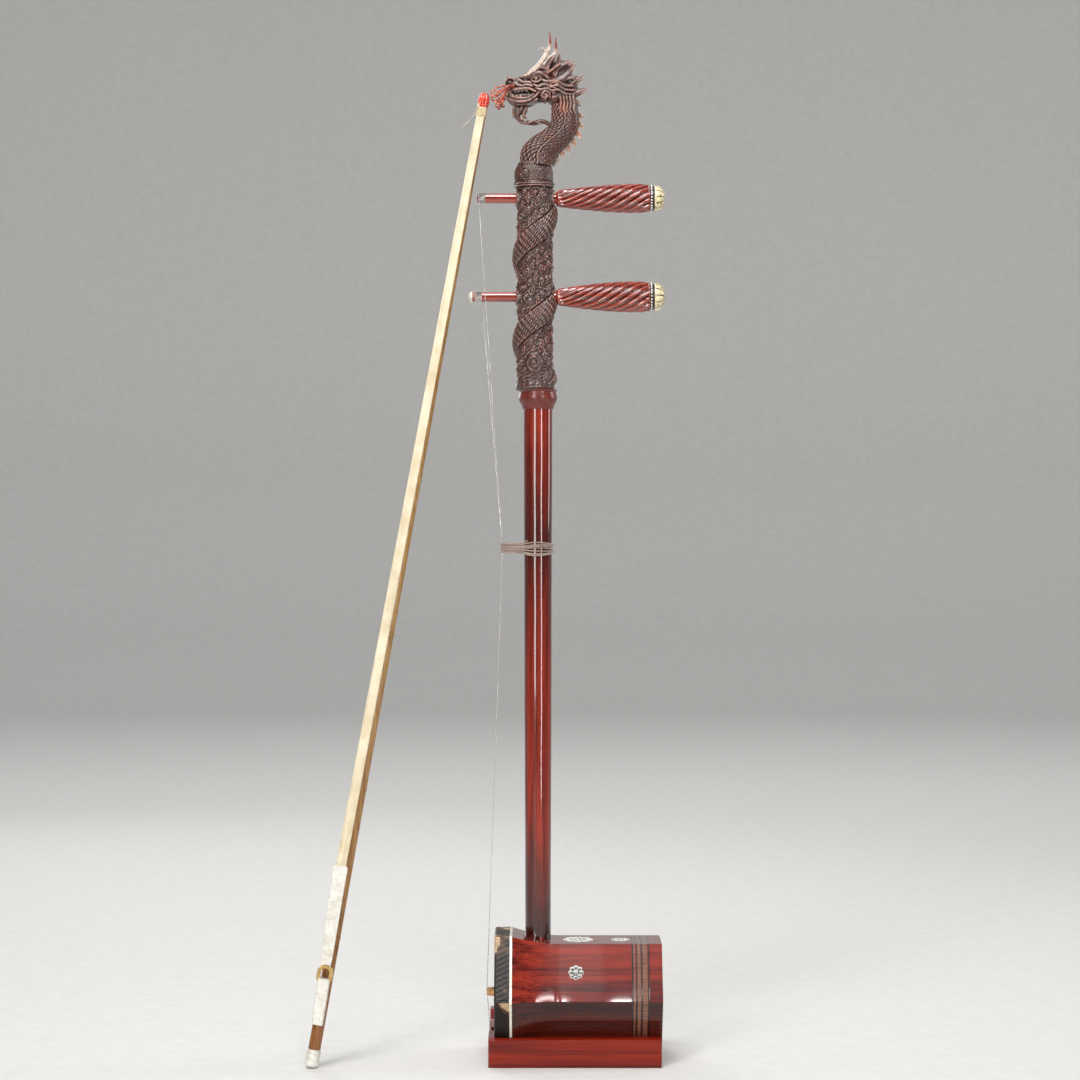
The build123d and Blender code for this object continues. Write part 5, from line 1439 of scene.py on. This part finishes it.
for name, spec in STRINGS.items():
    peg, r, side = PEGS[spec["peg"]], spec["d"] / 2, spec["side"]
    route = rounded_route([
        (peg["string_x"], side * (PEG_R + peg["wound"] + 0.3 + r), peg["z"]),
        (NUT_X, side * GAP_AT_NUT / 2, NUT_Z),
        (BRIDGE_TOP_X - r + 0.15, side * GAP_AT_BRIDGE / 2, BRIDGE_Z),
        (HITCH_X - HITCH_R - r, side * GAP_AT_BRIDGE / 2, HITCH_Z - 1.0),
    ], 6.0)
    at_y = side * GAP_AT_BRIDGE / 2
    turn = np.linspace(0, 2 * pi, 24)
    eye = np.stack([HITCH_X + (HITCH_R + r) * np.cos(pi + turn), at_y + 0 * turn + turn * r / 3,
                    HITCH_Z + (HITCH_R + r) * np.sin(pi + turn)], 1)
    climb = np.linspace(0, 1, 90)
    low = np.array([HITCH_X - HITCH_R - r, at_y, HITCH_Z + 1.5])
    high = np.array([HITCH_X - HITCH_R - r * 1.4 - 0.9, at_y, HITCH_Z + 9.0])
    lay = low + (high - low) * climb[:, None]
    lay = lay + 1.9 * r * np.stack([np.cos(climb * 2 * pi * 9), np.sin(climb * 2 * pi * 9),
                                    0 * climb], 1)
    piece(f"{name}_wire", name, [tube(route, r, 10), tube(eye, r, 8), tube(lay, r * 0.8, 6)],
          steel_string)

nut_low, _ = box_mm("nut_cord")
neck_r_here = NECK_FOOT_R + (NECK_TOP_R - NECK_FOOT_R) * (NUT_Z - NECK_Z[0]) / (
    NECK_Z[1] - NECK_Z[0])
NUT_TURNS = 9
NUT_STEPS = 200
# how far the turns spread, up and down from the middle: x, and half the height there
NUT_SPREAD = ((-32.0, 3.1), (-20.0, 3.5), (-11.0, 4.6), (-4.0, 6.5), (4.0, 6.4), (12.0, 5.0))


def nut_outline(clear):
    """The line round the neck and the strings at a distance from both."""
    reach_r = neck_r_here + clear
    string_r = GAP_AT_NUT / 2 + 0.45 + clear
    at_x = nut_low[0] + 3.25
    lean = np.arcsin((reach_r - string_r) / abs(at_x))
    turned = np.linspace(-pi / 2 - lean, pi / 2 + lean, 64)
    back = np.stack([reach_r * np.cos(turned), reach_r * np.sin(turned)], 1)
    turned = np.linspace(pi / 2 + lean, 3 * pi / 2 - lean, 22)
    front = np.stack([at_x + string_r * np.cos(turned) * 0.8, string_r * np.sin(turned)], 1)
    loop = np.vstack([back, front, back[:1]])
    step = np.concatenate([[0], np.cumsum(np.linalg.norm(np.diff(loop, axis=0), axis=1))])
    even = np.linspace(0, step[-1], NUT_STEPS, endpoint=False)
    return np.stack([np.interp(even, step, loop[:, k]) for k in range(2)], 1), step[-1]


samples = np.arange(NUT_TURNS * NUT_STEPS - 8)
share = samples / (NUT_TURNS * NUT_STEPS)
outline, outline_length = nut_outline(0.65)
lifted, _ = nut_outline(1.15)
over = (0.5 + 0.5 * np.sin(share * 2 * pi * 4.3))[:, None]
nut_line = outline[samples % NUT_STEPS] * (1 - over) + lifted[samples % NUT_STEPS] * over
spread = np.interp(nut_line[:, 0], *np.array(NUT_SPREAD).T)
lane = 2 * share - 1 + 0.16 * np.sin(share * 2 * pi * 7.3 + 0.4)
nut_line = np.column_stack([nut_line, NUT_Z + 0.3 + spread * lane])
tangent, normal, binormal = frames_along(nut_line, (0, 0, 1))
plies = []
for ply in range(3):
    twist = 2 * pi * (share * NUT_TURNS * outline_length / 3.4 + ply / 3)
    offset = 0.27 * (np.cos(twist)[:, None] * normal + np.sin(twist)[:, None] * binormal)
    plies.append(tube(nut_line + offset, 0.33, 7, up=(0, 0, 1)))
piece("nut_thread", "nut_cord", plies, thread)

dressed("bridge", bridge_wood, 0.3)
felt_low, felt_high = box_mm("damper_felt")
felt_centre, felt_half = (felt_low + felt_high) / 2, (felt_high - felt_low) / 2


def soft_block(centre, half, rows=40):
    """A block with rounded corners and edges that bulge a little."""
    turn = circle(72)
    rings = []
    for share in np.linspace(-1, 1, rows):
        draw = (1 - abs(share) ** 8) ** 0.25 if abs(share) < 1 else 0.55
        wide = half[1] * (0.55 + 0.45 * draw)
        tall = half[2] * (0.55 + 0.45 * draw)
        power = 0.28
        y = np.sign(np.cos(turn)) * np.abs(np.cos(turn)) ** power * wide
        z = np.sign(np.sin(turn)) * np.abs(np.sin(turn)) ** power * tall
        rings.append(np.stack([np.full(72, share * half[0]), y, z], 1))
    points = np.array(rings)
    points = points + 0.10 * ripple(points, 1.6, 4)[..., None] * unit(points + 1e-6)
    return skin(points + centre)


felt_piece = piece("damper_felt_pad", "damper_felt", [soft_block(felt_centre, felt_half - 0.1)],
                   felt, voxel=0.3, soften=1)


# ------------------------------------------------------------------ bow
def on_bow(across, behind, s):
    """Points of the bow: across the hair, behind it towards the stick, and along."""
    across, behind, s = np.broadcast_arrays(across, behind, s)
    return (BOW_FOOT + across[..., None] * BOW_ACROSS + behind[..., None] * BOW_BEHIND
            + s[..., None] * BOW_ALONG)


BAMBOO_JOINTS = (96.0, 214.0, 338.0, 462.0, 580.0, 688.0)
stick_s = np.unique(np.concatenate(
    [np.linspace(STICK_S[0], STICK_S[2], 300)]
    + [joint + np.linspace(-4, 4, 41) for joint in BAMBOO_JOINTS]))
stick_r = np.interp(stick_s, (STICK_S[0], STICK_S[1]), STICK_R)
for joint in BAMBOO_JOINTS:
    away = stick_s - joint
    stick_r = stick_r + 0.34 * hump(away, 1.1)
    stick_r = stick_r - 0.30 * hump(away - 1.9, 0.35)
    stick_r = stick_r + 0.12 * hump(away - 3.0, 1.0)
bend_share = held((stick_s - STICK_S[1]) / (STICK_S[2] - STICK_S[1]))
stick_line = on_bow(0.0 * stick_s, -7.0 * bend_share**2, stick_s)
sides = 40
around = circle(sides)
stick_rings = stick_r[:, None] * np.ones(sides) + 0.05 * np.sin(
    stick_s[:, None] / 60 + around * 2)
piece("bow_stick_bamboo", "bow_stick", [tube(stick_line, stick_rings, sides, up=BOW_ACROSS)],
      bamboo)

HAIRS = 190
hairs = []
hair_s = np.linspace(HAIR_S[0], HAIR_S[1], 14)
hair_share = (hair_s - HAIR_S[0]) / (HAIR_S[1] - HAIR_S[0])
ribbon_x = -4.2 + 3.8 * hair_share
ribbon_y = -14.0 + 2.7 * hair_share
ribbon_width = 8.8 - 2.0 * hair_share
for _ in range(HAIRS):
    lane_start, lane_end = CHANCE.uniform(-0.5, 0.5, 2) * (0.35, 0.35) + CHANCE.uniform(-0.33, 0.33)
    depth = CHANCE.uniform(-0.5, 0.5)
    lane = np.clip(lane_start + (lane_end - lane_start) * hair_share, -0.49, 0.49)
    sway = 0.16 * np.sin(hair_share * pi * CHANCE.uniform(1, 3) + CHANCE.uniform(0, 6))
    x = ribbon_x + lane * ribbon_width + sway * np.sin(hair_share * pi)
    y = ribbon_y + depth
    hairs.append(tube(on_bow(x, y, hair_s), CHANCE.uniform(0.09, 0.15), 5, up=BOW_ACROSS,
                      rounded=False))
# a thin core, so that no daylight shows through the ribbon
hairs.append(tube(on_bow(ribbon_x, ribbon_y, hair_s), 0.46 * ribbon_width, 24, up=BOW_ACROSS,
                  flat=0.09, rounded=False))
piece("bow_hair_strands", "bow_hair", hairs, horse_hair)

binding = []
BINDING_S = (755.5, 763.0)
turns = 11
samples = np.linspace(0, 1, turns * 48)
turn = 2 * pi * turns * samples
power = 0.72
coil_x = -0.2 + 4.15 * np.sign(np.cos(turn)) * np.abs(np.cos(turn)) ** power
coil_y = -7.0 + 5.55 * np.sign(np.sin(turn)) * np.abs(np.sin(turn)) ** power
coil_s = BINDING_S[0] + 0.35 + (BINDING_S[1] - BINDING_S[0] - 0.7) * samples
coil_s = coil_s + 0.12 * np.sin(turn * 0.37)
binding.append(tube(on_bow(coil_x, coil_y, coil_s), 0.36, 8, up=BOW_ALONG))
core_turn = circle(48)
wrap = np.stack([
    on_bow(-0.2 + 4.0 * np.sign(np.cos(core_turn)) * np.abs(np.cos(core_turn)) ** power,
           -7.0 + 5.4 * np.sign(np.sin(core_turn)) * np.abs(np.sin(core_turn)) ** power, s)
    for s in (BINDING_S[0] + 0.2, BINDING_S[1] - 0.2)])
binding.append(skin(wrap))
TAIL = ((-46.6, -11.6, 758.4), (-49.2, -15.4, 755.0), (-53.0, -16.4, 751.4),
        (-56.1, -17.0, 747.1), (-60.0, -17.2, 743.8))
tail_line = smooth_line(TAIL, 60)
_, tail_normal, tail_binormal = frames_along(tail_line, (0, 1, 0))
for ply in range(2):
    twist = np.arange(60) * 0.75 + pi * ply
    binding.append(tube(tail_line + 0.14 * (np.cos(twist)[:, None] * tail_normal
                                            + np.sin(twist)[:, None] * tail_binormal),
                        0.17, 6, up=(0, 1, 0)))
piece("tip_binding_thread", "tip_binding", binding, binding_thread)


# the knob's rings: distance along the bow, half width, half depth, and how deep the leaves are cut
KNOB_RINGS = ((763.0, 3.9, 5.3, 0.0), (763.6, 4.4, 5.7, 0.05), (765.0, 4.3, 5.6, 0.1),
              (766.2, 4.7, 6.0, 0.16), (768.0, 4.9, 6.2, 0.22), (770.0, 4.7, 5.9, 0.25),
              (772.0, 4.2, 5.2, 0.28), (773.6, 3.5, 4.3, 0.25), (774.7, 2.6, 3.2, 0.15),
              (775.0, 1.2, 1.4, 0.0))


def knob_rings():
    """A small crown: a waist, a bulge with cut leaves, and a low pointed top."""
    rings = []
    turn = circle(72)
    for s, wide, deep, cut in KNOB_RINGS:
        notch = 1 - cut * (1 - np.abs(np.cos(turn * 4)) ** 0.5)
        rings.append(on_bow(-0.2 + wide * np.cos(turn) * notch, -7.3 + deep * np.sin(turn) * notch,
                            s))
    return skin(np.array(rings))


piece("tip_knob_carved", "tip_knob", [knob_rings()], knob_wood, voxel=0.22,
      soften=2)
dressed("bow_frog", white_plastic, 0.6, 3)
dressed("frog_ring", brass, 0.45, 3)
dressed("frog_eye", brass, 0.2)
dressed("hair_sheath", white_plastic, 0.5, 3)

rod_s = np.linspace(-2, 58, 240)
thread_relief = 0.10 * np.sin(rod_s * 2 * pi / 0.7)
rod_r = np.where(rod_s > 30, 1.38 + thread_relief, 1.42)
piece("screw_rod_finished", "screw_rod",
      [lathe(np.stack([rod_s, rod_r], 1), BOW_FOOT, BOW_ALONG, 28)], steel)
BUTTON_DOME_R = 8.0
button = [(-BUTTON_DOME_R * cos(a), BUTTON_DOME_R * sin(a))
          for a in np.linspace(0.02, np.arcsin(5.5 / BUTTON_DOME_R) - 0.06, 14)]
button += [(-5.3, 5.42), (-4.6, 5.5), (-2.4, 5.5), (-2.0, 5.2), (-1.6, 5.2), (-1.2, 5.5),
           (2.6, 5.5), (3.0, 5.2), (3.4, 5.2), (3.8, 5.5), (5.6, 5.45), (6.4, 5.1), (6.8, 4.6),
           (6.8, 1.6)]
piece("screw_button_finished", "screw_button",
      [lathe(button, BOW_FOOT, BOW_ALONG, 72)], white_plastic, sharp=30.0)

# ------------------------------------------------------------------ stage, lights and camera
material, tree, shader = surface("stage_paper", 0.9)
grain = noise(tree, place_over(tree, [60.0] * 3), 1.0, 5, 0.6)
finish_surface(tree, shader,
               ramp(tree, grain, (0.3, (0.74, 0.73, 0.71)), (0.7, (0.79, 0.78, 0.76))))
floor_rings = []
for r, z in ((0.001, 0), (3.0, 0), (4.5, 0), (5.2, 0.15), (5.8, 0.6), (6.0, 1.3), (6.0, 3.4)):
    turn = circle(96)
    floor_rings.append(np.stack([r * np.cos(turn), r * np.sin(turn), np.full(96, z)], 1))
floor_points, floor_faces = skin(np.array(floor_rings) / MM, ends=False)
floor = bpy.data.objects.new("stage_floor", mesh_from("stage_floor", [(floor_points, floor_faces)]))
bpy.context.scene.collection.objects.link(floor)
floor.data.materials.append(material)
for polygon in floor.data.polygons:
    polygon.use_smooth = True

world = bpy.data.worlds.new("studio")
world.use_nodes = True
world.node_tree.nodes["Background"].inputs["Color"].default_value = (0.90, 0.94, 1.0, 1)
world.node_tree.nodes["Background"].inputs["Strength"].default_value = 0.12
bpy.context.scene.world = world
bpy.context.scene.view_settings.view_transform = "Standard"


def softbox(name, place, aim, wide, tall, watts, colour=(1, 1, 1), spread=180):
    """A plain rectangular light. spread, in degrees, is how wide its beam opens."""
    light = bpy.data.lights.new(name, "AREA")
    light.spread = radians(spread)
    light.shape, light.size, light.size_y = "RECTANGLE", wide, tall
    light.energy, light.color = watts, colour
    obj = bpy.data.objects.new(name, light)
    obj.location = place
    obj.rotation_euler = (Vector(aim) - Vector(place)).to_track_quat("-Z", "Y").to_euler()
    obj.visible_camera = False
    bpy.context.scene.collection.objects.link(obj)
    return obj


MIDDLE = (0.0, 0.0, 0.42)
softbox("key", (-1.0, -2.1, 0.95), MIDDLE, 0.55, 1.7, 9, (1.0, 0.97, 0.93), 100)
strip = softbox("strip", (0.95, -1.75, 0.70), MIDDLE, 0.16, 1.7, 4.6, spread=100)
# the strip reaches down to the floor, so it is flagged off it and leaves no hot patch there
flagged = bpy.data.collections.new("flagged_off_strip")
flagged.objects.link(floor)
strip.light_linking.receiver_collection = flagged
flagged.collection_objects[0].light_linking.link_state = "EXCLUDE"
softbox("upper", (-0.15, -1.05, 2.0), (0.04, 0, 0.6), 1.0, 0.6, 27)
# small lights that only show as streaks, mirrored in the soundbox's upper near panel: x, y, the x
# that they face, width, height and power; the first is mirrored by the panel's flared front
PANEL_EDGES = ((0.400, -1.2971, 0.306, 0.400, 0.003, 0.14),
               (0.021, -1.3235, 0.0105, 0.060, 0.006, 0.045),
               (0.125, -1.3235, 0.0625, 0.028, 0.006, 0.021))
for x, y, facing_x, wide, tall, watts in PANEL_EDGES:
    softbox("panel_edge", (x, y, 1.60), (facing_x, -0.048, 0.053), wide, tall, watts)
for wide in (0.140, 0.115, 0.090, 0.065, 0.040):
    softbox("panel_glow", (0.026, -1.262, 1.60), (0.018, -0.036, 0.074), wide, 0.10, wide * 0.16)
softbox("top", (0.1, 0.1, 2.6), MIDDLE, 1.6, 1.6, 17)
softbox("side", (2.0, 0.4, 1.1), MIDDLE, 0.5, 1.4, 3.4, spread=100)
softbox("rear", (-0.9, 2.0, 1.3), MIDDLE, 1.0, 1.4, 4, spread=100)
softbox("backdrop", (0, 1.7, 2.7), (0, 4.6, 0.2), 4.0, 1.2, 58)

camera = bpy.data.cameras.new("camera")
camera.sensor_width, camera.lens = 36.0, 92.33
camera_object = bpy.data.objects.new("camera", camera)
camera_object.location = (0.0016, -2.221, 0.4149)
camera_object.rotation_euler = (radians(90), 0, 0)
bpy.context.scene.collection.objects.link(camera_object)
bpy.context.scene.camera = camera_object
